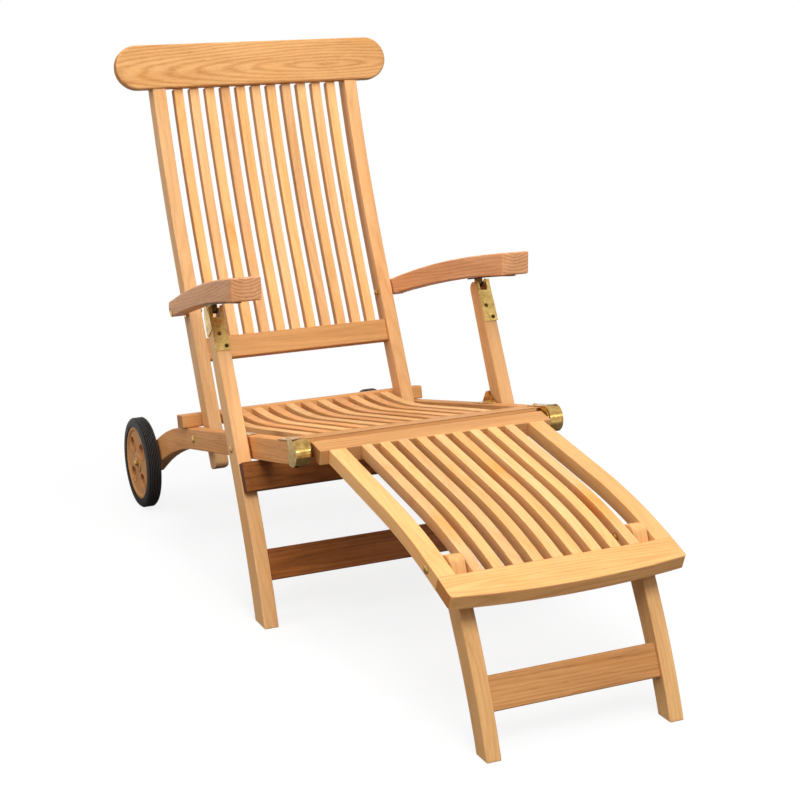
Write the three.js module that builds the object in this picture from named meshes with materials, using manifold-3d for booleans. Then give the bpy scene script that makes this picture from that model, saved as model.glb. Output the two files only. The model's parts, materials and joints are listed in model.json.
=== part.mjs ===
// A folding steamer deck chair in teak: two long seat rails that run back to a pair of wheels, a slatted
// seat, a reclining back with a wide headboard, arms that hook on the front legs, and a leg rest with legs of
// its own. Lengths are millimetres. +Z is up, the foot end points to -Y, and X runs across. Left is the
// sitter's, at +X.
import * as THREE from "three";
import { mergeVertices } from "three/addons/utils/BufferGeometryUtils.js";
import Module from "manifold-3d";

const wasm = await Module();
wasm.setup();

const degree = Math.PI / 180;

// Driving dimensions: fits
const clearance = 0.3;
const overrun = 40;
const jointGap = 4;
const armGap = 2.6;
const edgeRound = 3;
const restLegGap = 1.9;

// Driving dimensions: seat frame
const seatWidth = 519.4;
const railThick = 27.5;
const railDepth = 42.8;
const railTailDepth = 49;
const hingeHeight = 349;
const hingeToAxle = 878;
const bendRunShare = 0.8225;
const bendDropShare = 0.6124;
const bendTangentShare = 0.767;
const frontRailGap = 11.6;
const frontRailWidth = 76;
const frontRailThick = 27;
const rearRailThick = 27.5;
const rearRailDepth = 37;
const rearRailOverhang = 5;

// Driving dimensions: wooden slats
const seatSlatCount = 11;
const seatSlatMargin = 42.7;
const seatSlatShare = 0.5571;
const seatSlatThick = 20;
const seatSlatSink = 2.3;
const seatSlatLift = 0.45 * degree;
const seatSlatCurl = 13.5 * degree;
const seatSlatCurlRun = 206;
const backSlatCount = 11;
const backSlatMargin = 19.95;
const backSlatShare = 0.5702;
const backSlatThick = 18;
const restSlatCount = 9;
const restSlatMargin = 1.7;
const restSlatShare = 0.546;
const restSlatThick = 22;

// Driving dimensions: the linkage of back, arms and front legs
const legPivotRun = 235.1;
const backPivotRun = 568.4;
const crankLength = 264.1;
const lean = 25.7 * degree;

// Driving dimensions: back
const stileThick = 27.5;
const stileDepth = 35.5;
const stileFootDepth = 40;
const stileFootRun = 71;
const stileStraightRun = 364;
const stileCurveRun = 453;
const stileCurve = 11 * degree;
const headboardWidth = 602;
const headboardHeight = 91;
const headboardThick = 23;
const headboardProud = 4;
const headboardDrop = 8;
const lowerRailRun = 157;
const lowerRailHeight = 46;
const lowerRailThick = 25;

// Driving dimensions: arms
const armWidth = 57;
const armRun = 522;
const armOutward = 40.2;
const armRearOverhang = 17;
const armRise = 9.5;
const armRearDepth = 33;
const armMiddleDepth = 38.5;
const armDepth = 43;
const armRiseAngle = 19.3 * degree;
const armCurve = 9.4 * degree;
const armMiddleRun = 240;
const armNose = 16;
const armCornerRadius = 3.5;

// Driving dimensions: front legs
const legThick = 27.3;
const legTopDepth = 30;
const legNeckDepth = 35;
const legNeckRun = 60;
const legPivotDepth = 43;
const legFootDepth = 49;
const legHeadRun = 11;
const legStraightRun = 80;
const legCurveRun = 270;
const legCurve = 9.1 * degree;
const legNotchWidth = 15;
const legNotchDepth = 17;
const legNotchRearDepth = 28;
const apronHeight = 55;
const apronThick = 20;
const stretcherHeight = 57;
const stretcherThick = 20;
const stretcherRun = 220;

// Driving dimensions: leg rest
const restInset = 50.7;
const restRailThick = 31;
const restRailDepth = 26;
const restSlope = 9.2 * degree;
const crossbarRun = 51.5;
const crossbarBack = 9;
const crossbarThick = 27.5;
const hingeSink = 4.6;
const restStraightRun = 263;
const restCurveRun = 211;
const restCurve = 11 * degree;
const endBoardDepth = 45;
const endBoardBow = 14;
const endBoardThick = 25.5;
const endBoardCorner = 5;
const restLegThick = 25.7;
const restLegHeadDepth = 40;
const restLegDepth = 38;
const restLegFootDepth = 33.5;
const restBoltSetback = 38;
const restLegHeadRun = 17;
const restLegUpperRun = 92;
const restLegUpperTurn = 12.5 * degree;
const restLegLowerRun = 240;
const restLegLowerTurn = 12 * degree;
const restLegLean = 16.7 * degree;
const restStretcherRun = 203;
const restStretcherHeight = 55;
const restStretcherThick = 20;
const restStretcherForward = 3;

// Driving dimensions: wheels
const wheelRadius = 98.6;
const wheelWidth = 29.5;
const wheelGap = 1.6;
const tyreThick = 19;
const tyreGroove = 2;
const tyreRibCount = 3;
const discRecess = 5;
const hubRadius = 21;
const rimWidth = 9;
const ovalCount = 6;
const ovalDepth = 3;
const axleRadius = 6;

// Driving dimensions: brass and bolts
const boltRadius = 4;
const boltHeadRadius = 7.5;
const boltHeadHeight = 2.9;
const nutRadius = 6.5;
const nutHeight = 7;
const washerRadius = 11;
const hingePinRadius = 5;
const hingePinReach = 40;
const hingeFlangeRadius = 23;
const capRadius = 25.4;
const capStrap = 1.9;
const capStrapRun = 62;
const capCheek = 1.9;
const capCheekShares = [0.6, 0.6];
const sheet = 1.8;
const bracketTopRun = 10;
const bracketRun = 72;
const bracketNotchRun = 21.5;
const bracketCheekRun = 46;
const bracketEarRadius = 9;
const catchPinRadius = 2.5;
const catchStrip = 2.5;
const catchStripFront = 150;
const catchStripRear = 38;
const catchLugWidth = 11;
const catchLugRadius = 7.5;
const stopHeight = 28;
const stopBase = 58;
const stopThick = 3;
const stopFlange = 21;

// How finely curves are divided
const bendSteps = 7;
const turnSteps = 32;
const boltSteps = 12;
const cornerSteps = 3;
const holeSteps = 6;

const teak = (name, shade) =>
  new THREE.MeshStandardMaterial({ name, color: shade, roughness: 0.62, metalness: 0 });
const lightTeak = teak("light_teak", 0xe2b27c);
const warmTeak = teak("warm_teak", 0xd39a62);
const metal = (name, shade, roughness) =>
  new THREE.MeshStandardMaterial({ name, color: shade, roughness, metalness: 1 });
const brass = metal("brass", 0xc9a44c, 0.28);
const steel = metal("steel", 0x9a9a98, 0.35);
const rubber = new THREE.MeshStandardMaterial({
  name: "rubber",
  color: 0x17171a,
  roughness: 0.85,
  metalness: 0,
});

// Half widths of what stands side by side, from the seat rails inwards and outwards
const railOuter = seatWidth / 2;
const railInner = railOuter - railThick;
const stileOuter = railInner - jointGap;
const stileInner = stileOuter - stileThick;
const legInner = railOuter + jointGap;
const legOuter = legInner + legThick;
const crossbarHalf = railInner - jointGap;
const restRailOuter = railOuter - restInset;
const restRailInner = restRailOuter - restRailThick;
const restLegOuter = restRailInner - restLegGap;
const restLegInner = restLegOuter - restLegThick;
const notchMiddle = (legInner + legOuter) / 2;

// Slats fill the width between two boards with a margin beside the outermost ones: a slat takes its share of
// each pitch
const pitchOf = (count, share, halfRoom, margin) => (2 * (halfRoom - margin)) / (count - 1 + share);
const seatSlatPitch = pitchOf(seatSlatCount, seatSlatShare, railInner, seatSlatMargin);
const seatSlatWidth = seatSlatShare * seatSlatPitch;
const backSlatPitch = pitchOf(backSlatCount, backSlatShare, stileInner, backSlatMargin);
const backSlatWidth = backSlatShare * backSlatPitch;
const restSlatPitch = pitchOf(restSlatCount, restSlatShare, restLegInner, restSlatMargin);
const restSlatWidth = restSlatShare * restSlatPitch;

// Points in the side view are [y, z]
const along = (from, heading, run, offset = 0) => [
  from[0] + run * Math.cos(heading) - offset * Math.sin(heading),
  from[1] + run * Math.sin(heading) + offset * Math.cos(heading),
];
const headingTo = (from, to) => Math.atan2(to[1] - from[1], to[0] - from[0]);
const distance = (from, to) => Math.hypot(to[0] - from[0], to[1] - from[1]);

// A centre line that runs straight or bends evenly, as stations with their heading and the run up to them
function centreLine(start, heading, runs) {
  const stations = [{ at: start, heading, travelled: 0 }];
  for (const { run, turn = 0 } of runs) {
    const steps = turn ? bendSteps : 1;
    const half = turn / steps / 2;
    const chord = (run / steps) * (half ? Math.sin(half) / half : 1);
    for (let i = 0; i < steps; i++) {
      const last = stations.at(-1);
      stations.push({
        at: along(last.at, last.heading + half, chord),
        heading: last.heading + 2 * half,
        travelled: last.travelled + run / steps,
      });
    }
  }
  return stations;
}

const lengthOf = (stations) => stations.at(-1).travelled;

// The place and heading at a run along a centre line
function stationAt(stations, travelled) {
  const found = stations.findIndex((s) => s.travelled >= travelled);
  const next = found < 0 ? stations.length - 1 : Math.max(found, 1);
  const [a, b] = [stations[next - 1], stations[next]];
  const share = (travelled - a.travelled) / (b.travelled - a.travelled);
  return {
    at: [a.at[0] + share * (b.at[0] - a.at[0]), a.at[1] + share * (b.at[1] - a.at[1])],
    heading: a.heading + share * (b.heading - a.heading),
    travelled,
  };
}

// The stretch of a centre line between two runs
function stretch(stations, from, to) {
  const inside = stations.filter((s) => s.travelled > from + clearance && s.travelled < to - clearance);
  return [stationAt(stations, from), ...inside, stationAt(stations, to)];
}

// The outline of a board that follows a centre line: halfDepth gives its half depth at a run, offsetAt how far
// its middle lies to the left of the line, and the corners of its two ends are rounded
function ribbon(stations, halfDepth, startRadius = 0, endRadius = 0, offsetAt = () => 0) {
  const sides = [1, -1].map((side) =>
    stations.map((s) => along(s.at, s.heading, 0, offsetAt(s.travelled) + side * halfDepth(s.travelled))),
  );
  const end = (station, radius, direction) => {
    const half = halfDepth(station.travelled);
    const offset = offsetAt(station.travelled);
    const r = Math.min(radius, half);
    if (!r) {
      const across = (side) => along(station.at, station.heading, 0, offset + side * half * direction);
      return [1, -1].map(across);
    }
    const corner = (side) =>
      Array.from({ length: cornerSteps + 1 }, (_, i) => {
        const turn = (i / cornerSteps) * (Math.PI / 2);
        const angle = side > 0 ? Math.PI / 2 - turn : -turn;
        return along(
          station.at,
          station.heading,
          direction * (r * Math.cos(angle) - r),
          offset + direction * (side * (half - r) + r * Math.sin(angle)),
        );
      });
    return [...corner(1), ...corner(-1)];
  };
  const trimmed = (side, from, to) =>
    side.filter((_, i) => {
      const run = stations[i].travelled;
      return run > stations[0].travelled + from && run < stations.at(-1).travelled - to;
    });
  return tidy([
    ...trimmed(sides[0], startRadius, endRadius),
    ...end(stations.at(-1), endRadius, 1),
    ...trimmed(sides[1], startRadius, endRadius).reverse(),
    ...end(stations[0], startRadius, -1),
  ]);
}

// Leaves out points that fall on the one before
function tidy(points) {
  return points.filter((p, i) => distance(p, points[(i + points.length - 1) % points.length]) > clearance / 2);
}

// Keeps the part of an outline on the left of a line through a point
function trim(points, through, heading) {
  const side = (p) =>
    (p[1] - through[1]) * Math.cos(heading) - (p[0] - through[0]) * Math.sin(heading);
  const kept = points.flatMap((p, i) => {
    const q = points[(i + 1) % points.length];
    const [a, b] = [side(p), side(q)];
    const crossing = [p[0] + (a / (a - b)) * (q[0] - p[0]), p[1] + (a / (a - b)) * (q[1] - p[1])];
    return [...(a >= 0 ? [p] : []), ...(a < 0 !== b < 0 ? [crossing] : [])];
  });
  return tidy(kept);
}

const aboveFloor = (points) => trim(points, [0, 0], 0);

const circle = (centre, radius, steps) =>
  Array.from({ length: steps }, (_, i) => along(centre, (i / steps) * 2 * Math.PI, radius));

// Extrudes a side view outline across the chair from one x to another, with round bores [centre, radius]
const sideways = new THREE.Matrix4().makeBasis(
  new THREE.Vector3(0, 1, 0),
  new THREE.Vector3(0, 0, 1),
  new THREE.Vector3(1, 0, 0),
);
function board(outline, fromX, toX, bores = []) {
  const shape = new THREE.Shape(outline.map(([y, z]) => new THREE.Vector2(y, z)));
  for (const [centre, radius] of bores) {
    const ring = circle(centre, radius, 2 * holeSteps);
    shape.holes.push(new THREE.Path(ring.map(([y, z]) => new THREE.Vector2(y, z))));
  }
  const low = Math.min(fromX, toX);
  const geometry = new THREE.ExtrudeGeometry(shape, { depth: Math.abs(toX - fromX), bevelEnabled: false });
  return geometry.applyMatrix4(sideways).translate(low, 0, 0);
}

// Turns a profile of [x, radius] round an axis that runs across the chair through a side view point
function turned(profile, [y, z], steps = boltSteps) {
  const points = profile.map(([x, radius]) => new THREE.Vector2(radius, x));
  return new THREE.LatheGeometry(points, steps).rotateZ(-Math.PI / 2).translate(0, y, z);
}

// Booleans
function toSolid(geometry) {
  const plain = new THREE.BufferGeometry().setAttribute("position", geometry.getAttribute("position"));
  plain.setIndex(geometry.index);
  const merged = mergeVertices(plain, clearance / 1000);
  return new wasm.Manifold(
    new wasm.Mesh({
      numProp: 3,
      vertProperties: merged.attributes.position.array,
      triVerts: new Uint32Array(merged.index.array),
    }),
  );
}
function toGeometry(solid) {
  const mesh = solid.getMesh();
  const geometry = new THREE.BufferGeometry();
  geometry.setAttribute("position", new THREE.BufferAttribute(mesh.vertProperties, 3));
  geometry.setIndex(new THREE.BufferAttribute(mesh.triVerts, 1));
  return geometry;
}
const join = (...pieces) => toGeometry(pieces.map(toSolid).reduce((all, one) => all.add(one)));
const cut = (piece, ...tools) =>
  toGeometry(tools.map(toSolid).reduce((all, one) => all.subtract(one), toSolid(piece)));
const common = (a, b) => toGeometry(toSolid(a).intersect(toSolid(b)));

// The same piece on the other side of the chair
function mirrored(geometry) {
  const copy = geometry.index ? geometry.toNonIndexed() : geometry.clone();
  copy.scale(-1, 1, 1);
  const position = copy.getAttribute("position");
  const corner = new THREE.Vector3();
  const other = new THREE.Vector3();
  for (let i = 0; i < position.count; i += 3) {
    corner.fromBufferAttribute(position, i + 1);
    other.fromBufferAttribute(position, i + 2);
    position.setXYZ(i + 1, other.x, other.y, other.z);
    position.setXYZ(i + 2, corner.x, corner.y, corner.z);
  }
  copy.deleteAttribute("normal");
  return copy;
}

const chair = new THREE.Group();
const assembly = (name) => {
  const group = new THREE.Group();
  group.name = name;
  chair.add(group);
  return group;
};
const seatFrame = assembly("seat_frame_assembly");
const back = assembly("back_assembly");
const arms = assembly("arm_assembly");
const frontLegs = assembly("front_leg_assembly");
const legRest = assembly("leg_rest_assembly");
const restLegs = assembly("rest_leg_assembly");
const wheels = assembly("wheel_assembly");

function piece(group, name, geometry, material) {
  const mesh = new THREE.Mesh(geometry, material);
  mesh.name = name;
  geometry.computeVertexNormals();
  group.add(mesh);
  return mesh;
}
function pair(group, name, geometry, material) {
  piece(group, name + "_left", geometry, material);
  piece(group, name + "_right", mirrored(geometry), material);
}

// The seat rail's centre line: straight from the leg rest hinge, then bent down to the axle
const hinge = [-hingeToAxle / 2, hingeHeight];
const axle = [hingeToAxle / 2, wheelRadius];
const railBend = [
  hinge[0] + bendRunShare * hingeToAxle,
  hinge[1] - bendDropShare * (hinge[1] - axle[1]),
];
const railHeading = headingTo(hinge, railBend);
const tailHeading = headingTo(railBend, axle);
const tailLength = distance(railBend, axle);
const bendTangent = bendTangentShare * tailLength;
const railBendTurn = tailHeading - railHeading;
const railStraightRun = distance(hinge, railBend) - bendTangent;
const railBendRun = (bendTangent / Math.tan(-railBendTurn / 2)) * -railBendTurn;
const railLine = centreLine(hinge, railHeading, [
  { run: railStraightRun },
  { run: railBendRun, turn: railBendTurn },
  { run: tailLength - bendTangent },
]);
const onRail = (run, offset = 0) => along(hinge, railHeading, run, offset);
const railTop = railDepth / 2;

const legPivot = onRail(legPivotRun);
const backPivot = onRail(backPivotRun);
const leanHeading = Math.PI / 2 - lean;
const armPivot = along(backPivot, leanHeading, crankLength);
const catchPin = along(legPivot, leanHeading, crankLength);

// Bolts: a domed head on one face, a washer where the boards turn on each other, a domed nut on the far face
function boltProfile(headFace, nutFace, washerFrom, washerTo, flange = washerRadius) {
  const head = headFace + clearance;
  const nut = nutFace - clearance;
  return [
    [nut - nutHeight, 0],
    [nut - nutHeight, nutRadius * domeShares[0]],
    [nut - nutHeight * domeShares[1], nutRadius],
    [nut, nutRadius],
    [nut, boltRadius],
    [washerFrom + clearance, boltRadius],
    [washerFrom + clearance, flange],
    [washerTo - clearance, flange],
    [washerTo - clearance, boltRadius],
    [head, boltRadius],
    [head, boltHeadRadius],
    [head + boltHeadHeight * domeShares[2], boltHeadRadius * domeShares[1]],
    [head + boltHeadHeight, boltHeadRadius * domeShares[0]],
    [head + boltHeadHeight, 0],
  ];
}
const domeShares = [0.4, 0.85, 0.6];
const boltBore = boltRadius + clearance;

// Seat frame: rails, cross rails and slats
function railHalf(travelled) {
  const swelling = THREE.MathUtils.clamp((travelled - railStraightRun) / (railBendRun / 2), 0, 1);
  return (railDepth + swelling * (railTailDepth - railDepth)) / 2;
}
const tailOverhang = railTailDepth / 2;
const railWithTail = [...railLine.slice(0, -1), stationPast(railLine, tailOverhang)];
const railWithEnds = [stationPast(railLine, -railTop, true), ...railWithTail.slice(1)];

// A station past the last one, or before the first one
function stationPast(stations, run, first = false) {
  const s = first ? stations[0] : stations.at(-1);
  return { at: along(s.at, s.heading, run), heading: s.heading, travelled: s.travelled + run };
}

pair(
  seatFrame,
  "seat_rail",
  board(ribbon(railWithEnds, railHalf, railTop, tailOverhang), railInner, railOuter, [
    [hinge, hingePinRadius + clearance],
    [legPivot, boltBore],
    [backPivot, boltBore],
    [axle, axleRadius + clearance],
  ]),
  warmTeak,
);

// A straight board laid along the seat rails, from one run to another, with its top at a height over the
// middle of the rails
function layOnRail(from, to, top, thick, radius, halfWidth) {
  const line = [from, to].map((run) => ({ at: onRail(run), heading: railHeading, travelled: run }));
  const outline = ribbon(line, () => thick / 2, radius, radius, () => top - thick / 2);
  return board(outline, -halfWidth, halfWidth);
}
const frontRailEnd = frontRailGap + frontRailWidth;
const insideRails = railInner - clearance;
const flangeRoom = board(circle(hinge, hingeFlangeRadius + clearance, 2 * boltSteps), crossbarHalf, railInner);
piece(
  seatFrame,
  "seat_front_rail",
  cut(
    layOnRail(frontRailGap, frontRailEnd, railTop, frontRailThick, edgeRound, insideRails),
    flangeRoom,
    mirrored(flangeRoom),
  ),
  lightTeak,
);

// The rear cross rail lies on the rails and carries the stiles, which lean on its upper front edge
const rearRailTop = railTop + clearance + rearRailThick;
const stileHalf = (travelled) => {
  const share = THREE.MathUtils.clamp((travelled - stileFootRun) / stileStraightRun, 0, 1);
  return (stileFootDepth + share * (stileDepth - stileFootDepth)) / 2;
};
const stopLean = leanHeading - railHeading;
const stopRise = rearRailTop - edgeRound;
const stileHalfAtStop = stileHalf(stileFootRun + stopRise / Math.sin(stopLean));
const rearRailStart =
  backPivotRun + stopRise / Math.tan(stopLean) + (stileHalfAtStop + clearance) / Math.sin(stopLean);
piece(
  seatFrame,
  "seat_rear_rail",
  layOnRail(
    rearRailStart,
    rearRailStart + rearRailDepth,
    rearRailTop,
    rearRailThick,
    edgeRound,
    railOuter + rearRailOverhang,
  ),
  lightTeak,
);

// Seat slats run nearly flush with the rails and curl up to the rear cross rail
const slatStart = frontRailEnd + clearance;
const slatStraightRun = rearRailStart - frontRailEnd - seatSlatCurlRun;
const slatLine = centreLine(
  onRail(slatStart - seatSlatThick, railTop - seatSlatSink - seatSlatThick / 2),
  railHeading + seatSlatLift,
  [{ run: slatStraightRun + seatSlatThick }, { run: seatSlatCurlRun + seatSlatThick, turn: seatSlatCurl }],
);
const slatOutline = trim(
  trim(
    ribbon(slatLine, () => seatSlatThick / 2),
    onRail(slatStart),
    railHeading - Math.PI / 2,
  ),
  onRail(rearRailStart - clearance),
  railHeading + Math.PI / 2,
);
for (let i = 0; i < seatSlatCount; i++) {
  const middle = (i - (seatSlatCount - 1) / 2) * seatSlatPitch;
  const slat = board(slatOutline, middle - seatSlatWidth / 2, middle + seatSlatWidth / 2);
  piece(seatFrame, "seat_slat_" + (i + 1), slat, i % 2 ? warmTeak : lightTeak);
}

// Brass caps round the front ends of the seat rails, each with a strap along the rail's top and an outer cheek
const capInner = railTop + clearance;
const frontArc = (radius) =>
  Array.from({ length: 2 * bendSteps + 1 }, (_, i) =>
    along(hinge, railHeading + Math.PI / 2 + (i / (2 * bendSteps)) * Math.PI, radius),
  );
const capBand = tidy([
  onRail(capStrapRun, capInner),
  onRail(capStrapRun, capInner + capStrap),
  onRail(capStrap * 4, capInner + capStrap),
  ...frontArc(capRadius),
  onRail(capStrap * 4, -capInner),
  ...frontArc(capInner).reverse(),
]);
const capCheekOutline = tidy([
  ...frontArc(capRadius),
  onRail(capRadius * capCheekShares[0], -capInner),
  onRail(capRadius * capCheekShares[1], capInner + capStrap / 2),
]);
const capOuter = railOuter + clearance + capCheek;
pair(
  seatFrame,
  "hinge_cap",
  join(
    board(capBand, railInner, capOuter),
    board(capCheekOutline, railOuter + clearance, capOuter),
  ),
  brass,
);

// Pins of the leg rest hinge: each runs from the cap into the crossbar, with a brass flange between the boards
const pinEnd = crossbarHalf - hingePinReach;
pair(
  seatFrame,
  "hinge_pin",
  turned(
    [
      [pinEnd, 0],
      [pinEnd, hingePinRadius],
      [crossbarHalf + clearance, hingePinRadius],
      [crossbarHalf + clearance, hingeFlangeRadius],
      [railInner - clearance, hingeFlangeRadius],
      [railInner - clearance, hingePinRadius],
      [railOuter, hingePinRadius],
      [railOuter, 0],
    ],
    hinge,
    2 * boltSteps,
  ),
  brass,
);

pair(
  seatFrame,
  "back_pivot_bolt",
  turned(boltProfile(railOuter, stileInner, stileOuter, railInner), backPivot),
  brass,
);
pair(
  seatFrame,
  "leg_pivot_bolt",
  turned(boltProfile(legOuter, railInner, railOuter, legInner), legPivot),
  brass,
);

// Front legs: a forked head round the catch pin, straight past the pivot, then curved to the foot
const tapered = (table) => (travelled) => {
  const next = table.findIndex(([run]) => run >= travelled);
  if (next <= 0) return (next ? table.at(-1) : table[0])[1] / 2;
  const [[runA, depthA], [runB, depthB]] = [table[next - 1], table[next]];
  return THREE.MathUtils.mapLinear(travelled, runA, runB, depthA, depthB) / 2;
};
const legDown = leanHeading + Math.PI;
const legTopAbovePin = legTopDepth / 2 - legHeadRun;
const legToPivot = legTopAbovePin + crankLength;
const legHalf = tapered([
  [legTopDepth, legTopDepth],
  [legNeckRun, legNeckDepth],
  [legToPivot, legPivotDepth],
  [legToPivot + legStraightRun + legCurveRun, legFootDepth],
]);
const legLine = centreLine(along(catchPin, legDown, -legTopAbovePin), legDown, [
  { run: legToPivot + legStraightRun },
  { run: legCurveRun, turn: legCurve },
]);
const legStations = [
  legLine[0],
  stationAt(legLine, legTopDepth),
  stationAt(legLine, legNeckRun),
  stationAt(legLine, legToPivot),
  ...legLine.slice(1),
];
const notchFront = along(catchPin, legDown, legNotchDepth, -legTopDepth / 2);
const notchRear = along(catchPin, legDown, legNotchRearDepth, legTopDepth / 2);
const notchReach = [
  notchFront,
  notchRear,
  along(notchRear, legDown, -overrun),
  along(notchFront, legDown, -overrun),
];
const notchSlope = headingTo(notchFront, notchRear);
const notch = [
  along(notchFront, notchSlope, -overrun),
  along(notchRear, notchSlope, overrun),
  along(notchReach[2], notchSlope, overrun),
  along(notchReach[3], notchSlope, -overrun),
];
const notchHalf = legNotchWidth / 2;
pair(
  frontLegs,
  "front_leg",
  cut(
    board(aboveFloor(ribbon(legStations, legHalf, legTopDepth / 2)), legInner, legOuter, [
      [catchPin, catchPinRadius + clearance],
      [legPivot, boltBore],
    ]),
    board(notch, notchMiddle - notchHalf, notchMiddle + notchHalf),
  ),
  lightTeak,
);

// The apron board lies on the legs' front faces and stops them under the seat rails
const legHalfAtPivot = legHalf(legToPivot);
const apronOffset = legHalfAtPivot + clearance + apronThick;
const apronDrop = (railTop + clearance + apronOffset * Math.cos(stopLean)) / Math.sin(stopLean);
const apronLine = stretch(legLine, legToPivot + apronDrop, legToPivot + apronDrop + apronHeight);
piece(
  frontLegs,
  "leg_apron",
  board(
    ribbon(
      apronLine,
      () => apronThick / 2,
      0,
      edgeRound,
      (travelled) => -(legHalf(travelled) + clearance + apronThick / 2),
    ),
    -(legOuter - edgeRound / 2),
    legOuter - edgeRound / 2,
  ),
  warmTeak,
);
const stretcherMiddle = legToPivot + stretcherRun;
piece(
  frontLegs,
  "leg_stretcher",
  board(
    ribbon(
      stretch(legLine, stretcherMiddle - stretcherHeight / 2, stretcherMiddle + stretcherHeight / 2),
      () => stretcherThick / 2,
      edgeRound,
      edgeRound,
      (travelled) => stretcherThick / 2 - legHalf(travelled),
    ),
    -(legInner - clearance),
    legInner - clearance,
  ),
  warmTeak,
);

// Brass leg brackets: a plate down the front of the leg, an outer cheek, and the pin that the arm hooks on
const bracketStart = legTopAbovePin + bracketTopRun;
const cheekOuter = legOuter + clearance + sheet;
const bracketNotchEnd = bracketNotchRun - legTopAbovePin;
const bracketPlate = cut(
  board(
    ribbon(
      stretch(legStations, 0, bracketStart + bracketRun),
      () => sheet / 2,
      0,
      0,
      (travelled) => -(legHalf(travelled) + clearance + sheet / 2),
    ),
    legInner,
    cheekOuter,
  ),
  board(
    [
      along(catchPin, legDown, bracketNotchEnd, -overrun),
      along(catchPin, legDown, bracketNotchEnd, overrun),
      along(catchPin, legDown, -overrun, overrun),
      along(catchPin, legDown, -overrun, -overrun),
    ],
    notchMiddle - notchHalf,
    notchMiddle + notchHalf,
  ),
);
const cheekHalf = (travelled) => (2 * legHalf(travelled) + clearance + sheet) / 2;
const cheekEnd = legTopAbovePin + bracketCheekRun;
const cheekTip = stationAt(legStations, cheekEnd);
const cheekOutline = trim(
  ribbon(
    stretch(legStations, bracketStart, cheekEnd),
    cheekHalf,
    0,
    0,
    () => -(clearance + sheet) / 2,
  ),
  cheekTip.at,
  legDown + Math.PI / 2 - lean,
);
const bracketEar = board(circle(catchPin, bracketEarRadius, 2 * boltSteps), legOuter + clearance, cheekOuter);
const bracketNeck = board(
  [
    along(catchPin, legDown, 0, -bracketEarRadius),
    along(catchPin, legDown, 0, bracketEarRadius),
    along(catchPin, legDown, bracketTopRun + sheet, legTopDepth / 2),
    along(catchPin, legDown, bracketTopRun + sheet, -legTopDepth / 2),
  ],
  legOuter + clearance,
  cheekOuter,
);
const catchPinShank = turned(
  [
    [legInner, 0],
    [legInner, catchPinRadius],
    [cheekOuter, catchPinRadius],
    [cheekOuter, 0],
  ],
  catchPin,
);
pair(
  frontLegs,
  "leg_bracket",
  join(
    bracketPlate,
    board(cheekOutline, legOuter + clearance, cheekOuter),
    bracketEar,
    bracketNeck,
    catchPinShank,
  ),
  brass,
);

// Brass leg stops: a flange on the rail, a triangular web, and a tongue behind the leg
const stopTop = (railTop + stopHeight) / Math.sin(stopLean);
const stopLow = (railTop + stopHeight / 3) / Math.sin(stopLean);
const stopFront = legHalfAtPivot + clearance;
const stopBack = stopFront + stopThick;
const stopLevel = railTop + clearance;
const tongue = [
  along(legPivot, leanHeading, stopLow, -stopFront),
  along(legPivot, leanHeading, stopLow, -stopBack),
  along(legPivot, leanHeading, stopTop, -stopBack),
  along(legPivot, leanHeading, stopTop, -stopFront),
];
const web = [
  onRail(legPivotRun, stopLevel),
  onRail(legPivotRun + stopBase - stopThick, stopLevel),
  tongue[2],
  tongue[3],
];
const flange = [
  onRail(legPivotRun - stopThick, stopLevel),
  onRail(legPivotRun + stopBase, stopLevel),
  onRail(legPivotRun + stopBase, stopLevel + sheet),
  onRail(legPivotRun - stopThick, stopLevel + sheet),
];
pair(
  seatFrame,
  "leg_stop",
  join(
    board(flange, railOuter - stopFlange, railOuter),
    board(web, railOuter - stopThick, railOuter),
    board(tongue, railOuter - stopThick, legOuter - stopThick),
  ),
  brass,
);

// Back: two stiles, a lower rail with its slats, and a headboard let into the stiles
const stileLine = centreLine(along(backPivot, leanHeading, -stileFootRun), leanHeading, [
  { run: stileFootRun + stileStraightRun },
  { run: stileCurveRun, turn: stileCurve },
]);
const stileStations = [stileLine[0], stationAt(stileLine, stileFootRun), ...stileLine.slice(1)];
const stileLength = lengthOf(stileLine);
const boardTop = stileLength + headboardDrop;
const boardMiddle = stationAt(stileLine, boardTop - headboardHeight / 2);
const boardForward = stileDepth / 2 + headboardProud - headboardThick / 2;
const headboardCentre = along(boardMiddle.at, boardMiddle.heading, 0, boardForward);
function headboardSection(margin) {
  const run = headboardHeight / 2 + margin;
  const half = headboardThick / 2 + margin;
  return [
    along(headboardCentre, boardMiddle.heading, -run, half),
    along(headboardCentre, boardMiddle.heading, run, half),
    along(headboardCentre, boardMiddle.heading, run, -half),
    along(headboardCentre, boardMiddle.heading, -run, -half),
  ];
}
pair(
  back,
  "back_stile",
  cut(
    board(ribbon(stileStations, stileHalf, stileFootDepth / 4, edgeRound), stileInner, stileOuter, [
      [backPivot, boltBore],
      [armPivot, boltBore],
    ]),
    board(headboardSection(clearance), stileInner - overrun, stileOuter + overrun),
  ),
  lightTeak,
);

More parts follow.
